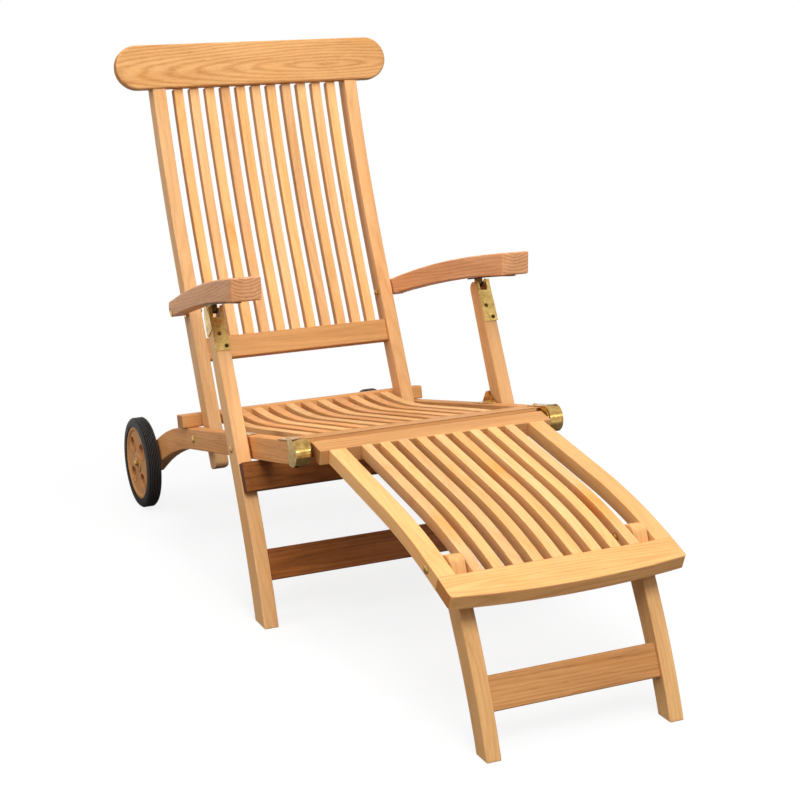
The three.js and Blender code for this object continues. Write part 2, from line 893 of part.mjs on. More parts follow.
// The headboard is a plain board with full round ends, in its own plane: x across and y up the back
function placed(geometry, [y, z], heading) {
  const axisY = new THREE.Vector3(0, Math.cos(heading), Math.sin(heading));
  const axisX = new THREE.Vector3(1, 0, 0);
  const axisZ = new THREE.Vector3().crossVectors(axisX, axisY);
  const place = new THREE.Matrix4().makeBasis(axisX, axisY, axisZ).setPosition(0, y, z);
  return geometry.applyMatrix4(place);
}
function slab(shape, thick, curveSegments) {
  const geometry = new THREE.ExtrudeGeometry(shape, { depth: thick, bevelEnabled: false, curveSegments });
  return geometry.translate(0, 0, -thick / 2);
}
const headboardEnd = headboardWidth / 2 - headboardHeight / 2;
const headboardShape = new THREE.Shape()
  .moveTo(-headboardEnd, -headboardHeight / 2)
  .lineTo(headboardEnd, -headboardHeight / 2)
  .absarc(headboardEnd, 0, headboardHeight / 2, -Math.PI / 2, Math.PI / 2)
  .lineTo(-headboardEnd, headboardHeight / 2)
  .absarc(-headboardEnd, 0, headboardHeight / 2, Math.PI / 2, 1.5 * Math.PI);
piece(
  back,
  "headboard",
  placed(slab(headboardShape, headboardThick, boltSteps), headboardCentre, boardMiddle.heading),
  lightTeak,
);

const lowerRailStart = stileFootRun + lowerRailRun;
const lowerRailEnd = lowerRailStart + lowerRailHeight;
const slatTop = boardMiddle.travelled - headboardHeight / 2 - 2 * clearance;
const insideStiles = stileInner - clearance;
const lowerRail = board(
  ribbon(stretch(stileLine, lowerRailStart, lowerRailEnd), () => lowerRailThick / 2, edgeRound, edgeRound),
  -insideStiles,
  insideStiles,
);
const backSlatOutline = ribbon(
  stretch(stileLine, lowerRailEnd - edgeRound * 2, slatTop),
  () => backSlatThick / 2,
);
const spread = (count, pitch) => Array.from({ length: count }, (_, i) => (i - (count - 1) / 2) * pitch);
const backSlats = spread(backSlatCount, backSlatPitch).map((middle) =>
  board(backSlatOutline, middle - backSlatWidth / 2, middle + backSlatWidth / 2),
);
piece(back, "back_slat_frame", join(lowerRail, ...backSlats), warmTeak);

// Arms: bent boards that widen towards the front, each on a bolt through its stile
const armRear = along(armPivot, Math.PI - armRiseAngle, -armRearOverhang, -armRise);
const armLine = centreLine(armRear, Math.PI - armRiseAngle, [{ run: armRun + armNose, turn: armCurve }]);
const armHalf = tapered([
  [0, armRearDepth],
  [armMiddleRun, armMiddleDepth],
  [armRun, armDepth],
]);
const armStations = [
  ...stretch(armLine, 0, armMiddleRun),
  ...stretch(armLine, armMiddleRun, lengthOf(armLine)).slice(1),
];
const armInnerRear = stileOuter + armGap;
const armRearWidth = stileThick;
const armFrontOuter = armInnerRear + armRearWidth + armOutward;
const armFrontY = armLine.at(-1).at[0];
const armRearY = armRear[0] + armDepth;
const armTaperY = armPivot[0] - washerRadius;
const armNoseY = armFrontY + armNose / 2;
const armFrontInner = armFrontOuter - armWidth;
const armPlan = new THREE.Shape()
  .moveTo(armInnerRear, armRearY)
  .lineTo(armInnerRear, armTaperY)
  .lineTo(armFrontInner, armNoseY + armCornerRadius)
  .quadraticCurveTo(armFrontInner, armNoseY, armFrontInner + armCornerRadius, armNoseY)
  .lineTo(armFrontOuter - armCornerRadius, armNoseY)
  .quadraticCurveTo(armFrontOuter, armNoseY, armFrontOuter, armNoseY + armCornerRadius)
  .lineTo(armInnerRear + armRearWidth, armTaperY)
  .lineTo(armInnerRear + armRearWidth, armRearY);
const armBlank = new THREE.ExtrudeGeometry(armPlan, {
  depth: armPivot[1] + hingeToAxle,
  bevelEnabled: false,
  curveSegments: cornerSteps,
});
const armOuterAtPivot = armInnerRear + armRearWidth;
pair(
  arms,
  "arm",
  common(
    board(
      ribbon(armStations, armHalf, armRearDepth / 3, edgeRound),
      armInnerRear - overrun,
      armFrontOuter + overrun,
      [[armPivot, boltBore]],
    ),
    armBlank,
  ),
  lightTeak,
);
pair(
  arms,
  "arm_pivot_bolt",
  turned(boltProfile(armOuterAtPivot, stileInner, stileOuter, armInnerRear), armPivot),
  brass,
);

// Arm catches: a brass strip under the arm with a hooked lug that drops over the leg's pin
const pinStation = armLine.reduce((best, s) =>
  distance(s.at, catchPin) < distance(best.at, catchPin) ? s : best,
);
const pinRun =
  pinStation.travelled +
  distance(pinStation.at, catchPin) * Math.cos(headingTo(pinStation.at, catchPin) - pinStation.heading);
const stripLine = stretch(armLine, pinRun - catchStripRear, pinRun + catchStripFront);
const stripSide = (travelled) => armHalf(travelled) + clearance + catchStrip / 2;
const strip = board(
  ribbon(stripLine, () => catchStrip / 2, 0, 0, stripSide),
  notchMiddle - catchLugWidth / 2,
  notchMiddle + catchLugWidth / 2,
);
const stripOverPin = stationAt(armLine, pinRun);
const lugTop = along(stripOverPin.at, stripOverPin.heading, 0, stripSide(pinRun));
const lugUp = headingTo(catchPin, lugTop);
const lugLine = [0, distance(catchPin, lugTop)].map((run) => ({
  at: along(catchPin, lugUp, run),
  heading: lugUp,
  travelled: run,
}));
const hookSlot = catchPinRadius + 2 * clearance;
const lugOutline = ribbon(lugLine, () => catchLugRadius);
const slotLine = [-overrun, 0].map((run) => ({
  at: along(catchPin, lugUp, run),
  heading: lugUp,
  travelled: run,
}));
const lugFrom = notchMiddle - catchLugWidth / 2;
const lugTo = notchMiddle + catchLugWidth / 2;
pair(
  arms,
  "arm_catch",
  cut(
    join(
      strip,
      board(lugOutline, lugFrom, lugTo),
      board(circle(catchPin, catchLugRadius, 2 * boltSteps), lugFrom, lugTo),
    ),
    board(circle(catchPin, hookSlot, 2 * boltSteps), lugFrom - overrun, lugTo + overrun),
    board(ribbon(slotLine, () => hookSlot), lugFrom - overrun, lugTo + overrun),
  ),
  brass,
);

// Leg rest: crossbar and slats in one frame, side rails, and a bowed end board
const restHeading = Math.PI + restSlope;
const restLine = centreLine(along(hinge, restHeading, -crossbarBack, -hingeSink), restHeading, [
  { run: crossbarBack + restStraightRun },
  { run: restCurveRun, turn: restCurve },
]);
const restLength = lengthOf(restLine);
const flushTop = (thick) => () => -(crossbarThick - thick) / 2;
const hingeBore = hingePinRadius + clearance;
const boreEnd = pinEnd - clearance;
const boreTool = turned(
  [
    [boreEnd, 0],
    [boreEnd, hingeBore],
    [railOuter, hingeBore],
    [railOuter, 0],
  ],
  hinge,
);
const restBoltRun = restLength - restBoltSetback;
const restBoltStation = stationAt(restLine, restBoltRun);
const restBolt = along(restBoltStation.at, restBoltStation.heading, 0, flushTop(restRailDepth)());
const crossbar = board(
  ribbon(stretch(restLine, 0, crossbarRun), () => crossbarThick / 2, crossbarThick / 2, edgeRound),
  -crossbarHalf,
  crossbarHalf,
);
const restSlatOutline = ribbon(
  stretch(restLine, crossbarRun - 2 * edgeRound, restLength - clearance),
  () => restSlatThick / 2,
  0,
  0,
  flushTop(restSlatThick),
);
const restSlats = spread(restSlatCount, restSlatPitch).map((middle, i) => {
  const outermost = i === 0 || i === restSlatCount - 1;
  const bores = outermost ? [[restBolt, boltBore]] : [];
  return board(restSlatOutline, middle - restSlatWidth / 2, middle + restSlatWidth / 2, bores);
});
piece(
  legRest,
  "leg_rest_slat_frame",
  cut(join(crossbar, ...restSlats), boreTool, mirrored(boreTool)),
  lightTeak,
);
pair(
  legRest,
  "leg_rest_rail",
  board(
    ribbon(
      stretch(restLine, crossbarRun + clearance, restLength - clearance),
      () => restRailDepth / 2,
      0,
      0,
      flushTop(restRailDepth),
    ),
    restRailInner,
    restRailOuter,
    [[restBolt, boltBore]],
  ),
  warmTeak,
);
const restEnd = restLine.at(-1);
const endBoardAt = along(restEnd.at, restEnd.heading, 0, flushTop(endBoardThick)());
const endBoardShape = new THREE.Shape()
  .moveTo(-restRailOuter, 0)
  .lineTo(restRailOuter, 0)
  .lineTo(restRailOuter, endBoardDepth - endBoardCorner)
  .quadraticCurveTo(
    restRailOuter,
    endBoardDepth,
    restRailOuter - endBoardCorner,
    endBoardDepth + edgeRound,
  )
  .quadraticCurveTo(
    0,
    endBoardDepth + 2 * endBoardBow,
    endBoardCorner - restRailOuter,
    endBoardDepth + edgeRound,
  )
  .quadraticCurveTo(-restRailOuter, endBoardDepth, -restRailOuter, endBoardDepth - endBoardCorner);
piece(
  legRest,
  "leg_rest_end_board",
  placed(slab(endBoardShape, endBoardThick, boltSteps), endBoardAt, restEnd.heading),
  lightTeak,
);

// Legs of the leg rest: each hangs on a bolt between the side rail and the outermost slat
const restLegDown = 1.5 * Math.PI - restLegLean;
const restLegLine = centreLine(along(restBolt, restLegDown, -restLegHeadRun), restLegDown, [
  { run: restLegHeadRun + restLegUpperRun, turn: -restLegUpperTurn },
  { run: restLegLowerRun, turn: restLegLowerTurn },
]);
const restLegHalf = tapered([
  [restLegHeadRun, restLegHeadDepth],
  [restLegHeadRun + restLegUpperRun, restLegDepth],
  [lengthOf(restLegLine), restLegFootDepth],
]);
const endBoardLine = [-clearance, endBoardDepth].map((run) => ({
  at: along(endBoardAt, restEnd.heading, run),
  heading: restEnd.heading,
  travelled: run,
}));
const endBoardRoom = board(ribbon(endBoardLine, () => endBoardThick / 2 + clearance), 0, restRailOuter);
pair(
  restLegs,
  "rest_leg",
  cut(
    board(aboveFloor(ribbon(restLegLine, restLegHalf, restLegHeadDepth / 2)), restLegInner, restLegOuter, [
      [restBolt, boltBore],
    ]),
    endBoardRoom,
  ),
  lightTeak,
);
const restStretcherMiddle = restLegHeadRun + restStretcherRun;
piece(
  restLegs,
  "rest_leg_stretcher",
  board(
    ribbon(
      stretch(
        restLegLine,
        restStretcherMiddle - restStretcherHeight / 2,
        restStretcherMiddle + restStretcherHeight / 2,
      ),
      () => restStretcherThick / 2,
      edgeRound,
      edgeRound,
      () => -restStretcherForward,
    ),
    -(restLegInner - clearance),
    restLegInner - clearance,
  ),
  warmTeak,
);
const outerSlatInner = ((restSlatCount - 1) / 2) * restSlatPitch - restSlatWidth / 2;
pair(
  legRest,
  "rest_leg_bolt",
  turned(boltProfile(restRailOuter, outerSlatInner, restLegOuter, restRailInner), restBolt),
  brass,
);

// Wheels: a ribbed rubber tyre on a wooden disc, both turning on one axle through the rails' tails
const wheelInner = railOuter + wheelGap;
const wheelOuter = wheelInner + wheelWidth;
const tyreInner = wheelRadius - tyreThick;
const shoulder = tyreGroove * 1.5;
const ribPitch = (wheelWidth - 2 * shoulder) / tyreRibCount;
const ribShares = [0.2, 0.8];
const tread = Array.from({ length: tyreRibCount }, (_, i) => {
  const start = wheelInner + shoulder + i * ribPitch;
  return [
    [start, wheelRadius - tyreGroove],
    [start + ribShares[0] * ribPitch, wheelRadius],
    [start + ribShares[1] * ribPitch, wheelRadius],
  ];
}).flat();
const tyreProfile = [
  [wheelInner, tyreInner],
  [wheelInner, wheelRadius - 2 * shoulder],
  ...tread,
  [wheelOuter - shoulder, wheelRadius - tyreGroove],
  [wheelOuter, wheelRadius - 2 * shoulder],
  [wheelOuter, tyreInner],
  [wheelInner, tyreInner],
];
pair(wheels, "tyre", turned(tyreProfile, axle, turnSteps), rubber);

const discRadius = tyreInner - clearance;
const discInner = wheelInner + discRecess;
const discOuter = wheelOuter - discRecess;
const axleBore = axleRadius + clearance;
const discProfile = [
  [wheelInner, axleBore],
  [wheelInner, hubRadius],
  [discInner, hubRadius],
  [discInner, discRadius - rimWidth],
  [discInner - discRecess / 2, discRadius],
  [discOuter + discRecess / 2, discRadius],
  [discOuter, discRadius - rimWidth],
  [discOuter, hubRadius],
  [wheelOuter - discRecess / 2, hubRadius],
  [wheelOuter - discRecess / 2, axleBore],
  [wheelInner, axleBore],
];
const ovalRing = (hubRadius + discRadius - rimWidth) / 2;
const ovalShares = [0.24, 0.25];
const ovals = Array.from({ length: ovalCount }, (_, i) => {
  const turn = (i / ovalCount) * 2 * Math.PI;
  const middle = along(axle, turn, ovalRing);
  const outline = circle([0, 0], discRadius, turnSteps / 2).map(([a, b]) =>
    along(middle, turn, ovalShares[0] * a, ovalShares[1] * b),
  );
  return board(outline, discOuter - ovalDepth, discOuter + overrun);
});
pair(wheels, "wheel_disc", cut(turned(discProfile, axle, turnSteps), ...ovals), warmTeak);

const axleNutFace = wheelOuter - discRecess / 2 + clearance;
const axleNutRadius = axleRadius * 1.8;
const axleHalf = [
  [axleNutFace, axleRadius],
  [axleNutFace, axleNutRadius],
  [axleNutFace + nutHeight * domeShares[2], axleNutRadius * domeShares[1]],
  [axleNutFace + nutHeight, axleNutRadius * domeShares[0]],
  [axleNutFace + nutHeight, 0],
];
const axleProfile = [...axleHalf.map(([x, radius]) => [-x, radius]).reverse(), ...axleHalf];
piece(seatFrame, "wheel_axle", turned(axleProfile, axle, 2 * boltSteps), steel);

// The part's frame has its origin on the floor, under the middle of the chair
const box = new THREE.Box3().setFromObject(chair);
chair.position.set(-(box.min.x + box.max.x) / 2, -(box.min.y + box.max.y) / 2, -box.min.z);
const part = new THREE.Group();
part.add(chair);

export default part;
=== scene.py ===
import json
import math
import random

import bmesh
import bpy
from mathutils import Euler, Matrix, Vector

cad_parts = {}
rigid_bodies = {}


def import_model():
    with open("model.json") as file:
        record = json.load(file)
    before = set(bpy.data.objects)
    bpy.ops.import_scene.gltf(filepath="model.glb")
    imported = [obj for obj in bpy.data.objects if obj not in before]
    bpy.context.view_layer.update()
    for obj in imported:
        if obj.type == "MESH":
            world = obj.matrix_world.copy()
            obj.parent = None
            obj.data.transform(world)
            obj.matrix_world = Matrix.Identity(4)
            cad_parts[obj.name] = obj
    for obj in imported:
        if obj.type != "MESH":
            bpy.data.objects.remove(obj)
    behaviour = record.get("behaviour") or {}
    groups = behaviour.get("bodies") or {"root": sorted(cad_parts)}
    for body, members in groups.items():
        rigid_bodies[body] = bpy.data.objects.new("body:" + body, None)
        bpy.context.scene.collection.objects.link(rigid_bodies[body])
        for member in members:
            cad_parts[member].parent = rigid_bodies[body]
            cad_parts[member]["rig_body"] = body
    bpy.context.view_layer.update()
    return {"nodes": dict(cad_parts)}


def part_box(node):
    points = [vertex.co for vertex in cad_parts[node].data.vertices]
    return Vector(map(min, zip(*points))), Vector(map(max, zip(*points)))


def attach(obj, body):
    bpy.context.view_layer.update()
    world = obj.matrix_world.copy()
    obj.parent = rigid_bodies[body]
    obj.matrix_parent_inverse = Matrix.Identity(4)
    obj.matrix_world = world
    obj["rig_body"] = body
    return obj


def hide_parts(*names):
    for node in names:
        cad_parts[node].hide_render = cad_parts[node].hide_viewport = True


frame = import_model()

MM = 0.001
DEGREE = math.pi / 180

# Half widths across the chair, as the solids have them
RAIL_OUTER = 259.7 * MM
RAIL_INNER = 232.2 * MM
STILE_OUTER = 228.2 * MM
STILE_INNER = 200.7 * MM
LEG_INNER = 263.7 * MM
LEG_OUTER = 291.0 * MM
LEG_MIDDLE = (LEG_INNER + LEG_OUTER) / 2
CROSSBAR_END = 228.2 * MM
REST_RAIL_OUTER = 209.0 * MM
REST_RAIL_INNER = 178.0 * MM
REST_LEG_OUTER = 176.1 * MM
OUTER_SLAT_INNER = 129.7 * MM
ARM_INNER = 230.8 * MM
ARM_OUTER_AT_PIVOT = 258.3 * MM
WHEEL_INNER = 261.3 * MM
WHEEL_OUTER = 290.8 * MM
WHEEL_RADIUS = 98.6 * MM
REAR_RAIL_END = 264.7 * MM

# Ribs round a tyre
RIBS = 6
SHOULDER = 4 * MM
RIB_PITCH = (WHEEL_OUTER - WHEEL_INNER - 2 * SHOULDER) / RIBS


def node_middle(node):
    """The side view point [y, z] at the middle of a CAD node's box."""
    low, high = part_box(node)
    return Vector(((low.y + high.y) / 2, (low.z + high.z) / 2))


HINGE = node_middle("hinge_pin_left")
AXLE = node_middle("wheel_axle")
LEG_PIVOT = node_middle("leg_pivot_bolt_left")
BACK_PIVOT = node_middle("back_pivot_bolt_left")
ARM_PIVOT = node_middle("arm_pivot_bolt_left")
REST_BOLT = node_middle("rest_leg_bolt_left")
CATCH_PIN = LEG_PIVOT + ARM_PIVOT - BACK_PIVOT


def heading_of(start, end):
    """The heading of a line in the side view, from +Y towards +Z."""
    return math.atan2(end[1] - start[1], end[0] - start[0])


RAIL_HEADING = heading_of(HINGE, LEG_PIVOT)
LEAN = heading_of(BACK_PIVOT, ARM_PIVOT)
HEADBOARD_HEADING = 74.39 * DEGREE
ARM_HEADING = -14.6 * DEGREE
REST_HEADING = 9.2 * DEGREE
REST_END_HEADING = 20.2 * DEGREE
REST_LEG_HEADING = 67 * DEGREE
REST_HEAD_HEADING = 73.3 * DEGREE


def side_point(start, heading, run, offset=0.0):
    """The side view point at a run along a heading, and an offset to its left."""
    return Vector((
        start[0] + run * math.cos(heading) - offset * math.sin(heading),
        start[1] + run * math.sin(heading) + offset * math.cos(heading),
    ))


# Modelling

def pick(piece):
    """Makes one piece the only selected and the active one."""
    bpy.ops.object.select_all(action="DESELECT")
    piece.select_set(True)
    bpy.context.view_layer.objects.active = piece


def edit(piece):
    """Opens a piece in edit mode and gives its mesh."""
    pick(piece)
    bpy.ops.object.mode_set(mode="EDIT")
    return bmesh.from_edit_mesh(piece.data)


def close_edit():
    bpy.ops.object.mode_set(mode="OBJECT")


def modify(piece, kind, **settings):
    """Adds a modifier with its settings and applies it."""
    pick(piece)
    modifier = piece.modifiers.new(kind.lower(), kind)
    for key, value in settings.items():
        setattr(modifier, key, value)
    bpy.ops.object.modifier_apply(modifier=modifier.name)


def place(piece, name):
    """Names a new piece and puts its place into its mesh."""
    piece.name = name
    piece.data.name = name
    pick(piece)
    bpy.ops.object.transform_apply(location=True, rotation=True, scale=True)
    return piece


SAME_PLACE = 0.01 * MM
SAME_PLANE = 0.3 * DEGREE


def copy_node(node, name):
    """A merged copy of a CAD node's mesh, with flat faces made whole."""
    piece = bpy.data.objects.new(name, frame["nodes"][node].data.copy())
    piece.data.name = name
    piece.data.materials.clear()
    bpy.context.scene.collection.objects.link(piece)
    edit(piece)
    bpy.ops.mesh.select_all(action="SELECT")
    bpy.ops.mesh.remove_doubles(threshold=SAME_PLACE)
    bpy.ops.mesh.dissolve_limited(angle_limit=SAME_PLANE)
    close_edit()
    bpy.ops.mesh.customdata_custom_splitnormals_clear()
    return piece


def select_edges(mesh, smallest, largest, plain, joints=()):
    """Selects outward edges whose faces meet at an angle between two limits, away from the plain places
    and from the joints: planes (point, normal) in which two boards meet."""
    chosen = 0
    for part in (mesh.verts, mesh.edges, mesh.faces):
        for item in part:
            item.select = False
    for edge in mesh.edges:
        if len(edge.link_faces) != 2:
            continue
        angle = edge.calc_face_angle_signed(0.0)
        if not smallest < angle <= largest:
            continue
        if any(
            all((corner.co.yz - point).length < radius for corner in edge.verts)
            for point, radius in plain
        ):
            continue
        if any(
            all(abs((corner.co.yz - point).dot(normal)) < 0.6 * MM for corner in edge.verts)
            for point, normal in joints
        ):
            continue
        edge.select = True
        chosen += 1
    mesh.select_flush_mode()
    return chosen


BORE_ROOM = 7.5 * MM
BORES = [
    (point, BORE_ROOM)
    for point in (HINGE, LEG_PIVOT, BACK_PIVOT, ARM_PIVOT, REST_BOLT, CATCH_PIN, AXLE)
]
SQUARE_FROM = 40 * DEGREE
MANY_CORNERS = 6


def ease_edges(piece, width, segments=3, plain=BORES, joints=(), fine=False):
    """Rounds a piece's outward edges: coarse curves are divided first, then the square edges are eased.
    Faces with many corners are parted into triangles, which keeps large ones from shading wrongly."""
    mesh = edit(piece)
    bpy.ops.mesh.select_mode(type="EDGE")
    if select_edges(mesh, 11 * DEGREE, SQUARE_FROM, plain):
        bmesh.update_edit_mesh(piece.data)
        share, steps = (49, 5) if fine else (30, 2)
        bpy.ops.mesh.bevel(offset_type="PERCENT", offset_pct=share, segments=steps, affect="EDGES")
    mesh = bmesh.from_edit_mesh(piece.data)
    if select_edges(mesh, SQUARE_FROM, 180 * DEGREE, plain, joints):
        bmesh.update_edit_mesh(piece.data)
        bpy.ops.mesh.bevel(
            offset_type="OFFSET", offset=width, segments=segments, affect="EDGES", clamp_overlap=False
        )
    bpy.ops.mesh.select_all(action="SELECT")
    bpy.ops.mesh.remove_doubles(threshold=0.005 * MM)
    mesh = bmesh.from_edit_mesh(piece.data)
    bpy.ops.mesh.select_mode(type="FACE")
    for face in mesh.faces:
        face.select = len(face.verts) > MANY_CORNERS
    bmesh.update_edit_mesh(piece.data)
    bpy.ops.mesh.quads_convert_to_tris(quad_method="BEAUTY", ngon_method="BEAUTY")
    close_edit()
    smooth(piece)


def smooth(piece, angle=42):
    """Smooth shading that keeps flat faces flat and sharp corners sharp."""
    pick(piece)
    bpy.ops.object.shade_smooth_by_angle(angle=angle * DEGREE)
    modify(piece, "WEIGHTED_NORMAL", keep_sharp=True, weight=60)


def cut_away(piece, point, normal):
    """Cuts a piece with a plane, closes the cut, and drops what lies on the normal's side."""
    edit(piece)
    bpy.ops.mesh.select_all(action="SELECT")
    bpy.ops.mesh.bisect(plane_co=point, plane_no=normal, use_fill=True, clear_outer=True)
    close_edit()


def cut_out(piece, *cutters):
    """Cuts one or more bodies out of a piece."""
    for cutter in cutters:
        modify(piece, "BOOLEAN", object=cutter, operation="DIFFERENCE", solver="EXACT")
        bpy.data.objects.remove(cutter)
    return piece


def join_pieces(name, pieces):
    """Several bodies as one piece."""
    pick(pieces[0])
    for other in pieces[1:]:
        other.select_set(True)
    bpy.ops.object.join()
    pieces[0].name = name
    pieces[0].data.name = name
    return pieces[0]


def drawn(name, spot, aim, profile, sides=24, bored=False):
    """Turns a body on an axis through a spot: a ring is drawn out and resized along (run, radius) points.
    A bored body has a hole through it, between its first and its last ring."""
    spot, aim = Vector(spot), Vector(aim).normalized()
    (run, radius), *others = profile
    bpy.ops.object.select_all(action="DESELECT")
    bpy.ops.mesh.primitive_circle_add(
        vertices=sides,
        radius=radius,
        fill_type="NGON",
        location=spot + run * aim,
        rotation=Vector((0, 0, 1)).rotation_difference(aim).to_euler(),
    )
    piece = place(bpy.context.object, name)
    edit(piece)
    bpy.ops.mesh.select_mode(type="FACE")
    bpy.ops.mesh.select_all(action="SELECT")
    for next_run, next_radius in others:
        bpy.ops.mesh.extrude_region()
        if next_run != run:
            bpy.ops.transform.translate(value=(next_run - run) * aim)
        share = next_radius / radius
        if share != 1:
            bpy.ops.transform.resize(value=(share, share, share), center_override=spot + next_run * aim)
        run, radius = next_run, next_radius
    if bored:
        mesh = bmesh.from_edit_mesh(piece.data)
        for face in mesh.faces:
            face.select = len(face.verts) == sides
        bmesh.update_edit_mesh(piece.data)
        bpy.ops.mesh.bridge_edge_loops()
    bpy.ops.mesh.select_all(action="SELECT")
    bpy.ops.mesh.normals_make_consistent(inside=False)
    close_edit()
    return piece


def turned(name, profile, centre, sides=32, bored=False):
    """Turns a body on an axis across the chair, along (x, radius) points."""
    return drawn(name, (0, centre[0], centre[1]), (1, 0, 0), profile, sides, bored)


def shift(piece, chosen, value):
    """Moves the corners of a piece that a test picks."""
    mesh = edit(piece)
    bpy.ops.mesh.select_mode(type="VERT")
    for corner in mesh.verts:
        corner.select = chosen(corner.co)
    mesh.select_flush_mode()
    bmesh.update_edit_mesh(piece.data)
    bpy.ops.transform.translate(value=value)
    close_edit()


def shift_ends(piece, half, value):
    """Moves both ends of a piece that lie at a half width: outwards, or inwards with a minus."""
    shift(piece, lambda corner: corner.x > half - 0.2 * MM, (value, 0, 0))
    shift(piece, lambda corner: corner.x < 0.2 * MM - half, (-value, 0, 0))


def mirror_copy(piece, name):
    """The same piece on the other side of the chair, with its own mesh."""
    copy = piece.copy()
    copy.data = piece.data.copy()
    bpy.context.scene.collection.objects.link(copy)
    copy.scale = (-1, 1, 1)
    place(copy, name)
    edit(copy)
    bpy.ops.mesh.select_all(action="SELECT")
    bpy.ops.mesh.normals_make_consistent(inside=False)
    close_edit()
    return copy


def settle(piece, material, nodes):
    """Gives a finished piece its material and body, and hides the CAD nodes that it stands for."""
    if material:
        piece.data.materials.clear()
        piece.data.materials.append(material)
    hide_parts(*nodes)
    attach(piece, frame["nodes"][nodes[0]]["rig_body"])
    return piece


# Materials

class Nodes:
    """Short hands for building a node tree."""

    def __init__(self, tree):
        self.tree = tree

    def add(self, kind, inputs=None, **settings):
        node = self.tree.nodes.new(kind)
        for key, value in settings.items():
            setattr(node, key, value)
        for key, value in (inputs or {}).items():
            if isinstance(value, bpy.types.NodeSocket):
                self.tree.links.new(value, node.inputs[key])
            else:
                node.inputs[key].default_value = value
        return node

    def maths(self, operation, a, b=0.0):
        return self.add("ShaderNodeMath", {0: a, 1: b}, operation=operation).outputs[0]

    def stretched(self, vector, scale):
        node = self.add("ShaderNodeVectorMath", {0: vector, 1: scale}, operation="MULTIPLY")
        return node.outputs[0]

    def noise(self, vector, detail=3.0, roughness=0.55, distortion=0.0):
        return self.add(
            "ShaderNodeTexNoise",
            {
                "Vector": vector, "Scale": 1.0, "Detail": detail, "Roughness": roughness,
                "Distortion": distortion,
            },
        ).outputs["Fac"]

    def spread(self, value, low, high, to_low=0.0, to_high=1.0):
        return self.add(
            "ShaderNodeMapRange",
            {"Value": value, "From Min": low, "From Max": high, "To Min": to_low, "To Max": to_high},
        ).outputs["Result"]

    def blend(self, share, first, second):
        node = self.add("ShaderNodeMix", data_type="RGBA")
        for key, value in (("Factor", share), ("A", first), ("B", second)):
            socket = next(
                s for s in node.inputs
                if s.name == key and s.type in ("RGBA", "VALUE") and s.enabled
            )
            if isinstance(value, bpy.types.NodeSocket):
                self.tree.links.new(value, socket)
            else:
                socket.default_value = value
        return next(s for s in node.outputs if s.type == "RGBA" and s.enabled)


def linear(*screen):
    """A colour written in 0..255 screen values, as the shader takes it."""
    shares = [value / 255 for value in screen]
    return tuple(c / 12.92 if c <= 0.04045 else ((c + 0.055) / 1.055) ** 2.4 for c in shares) + (1.0,)


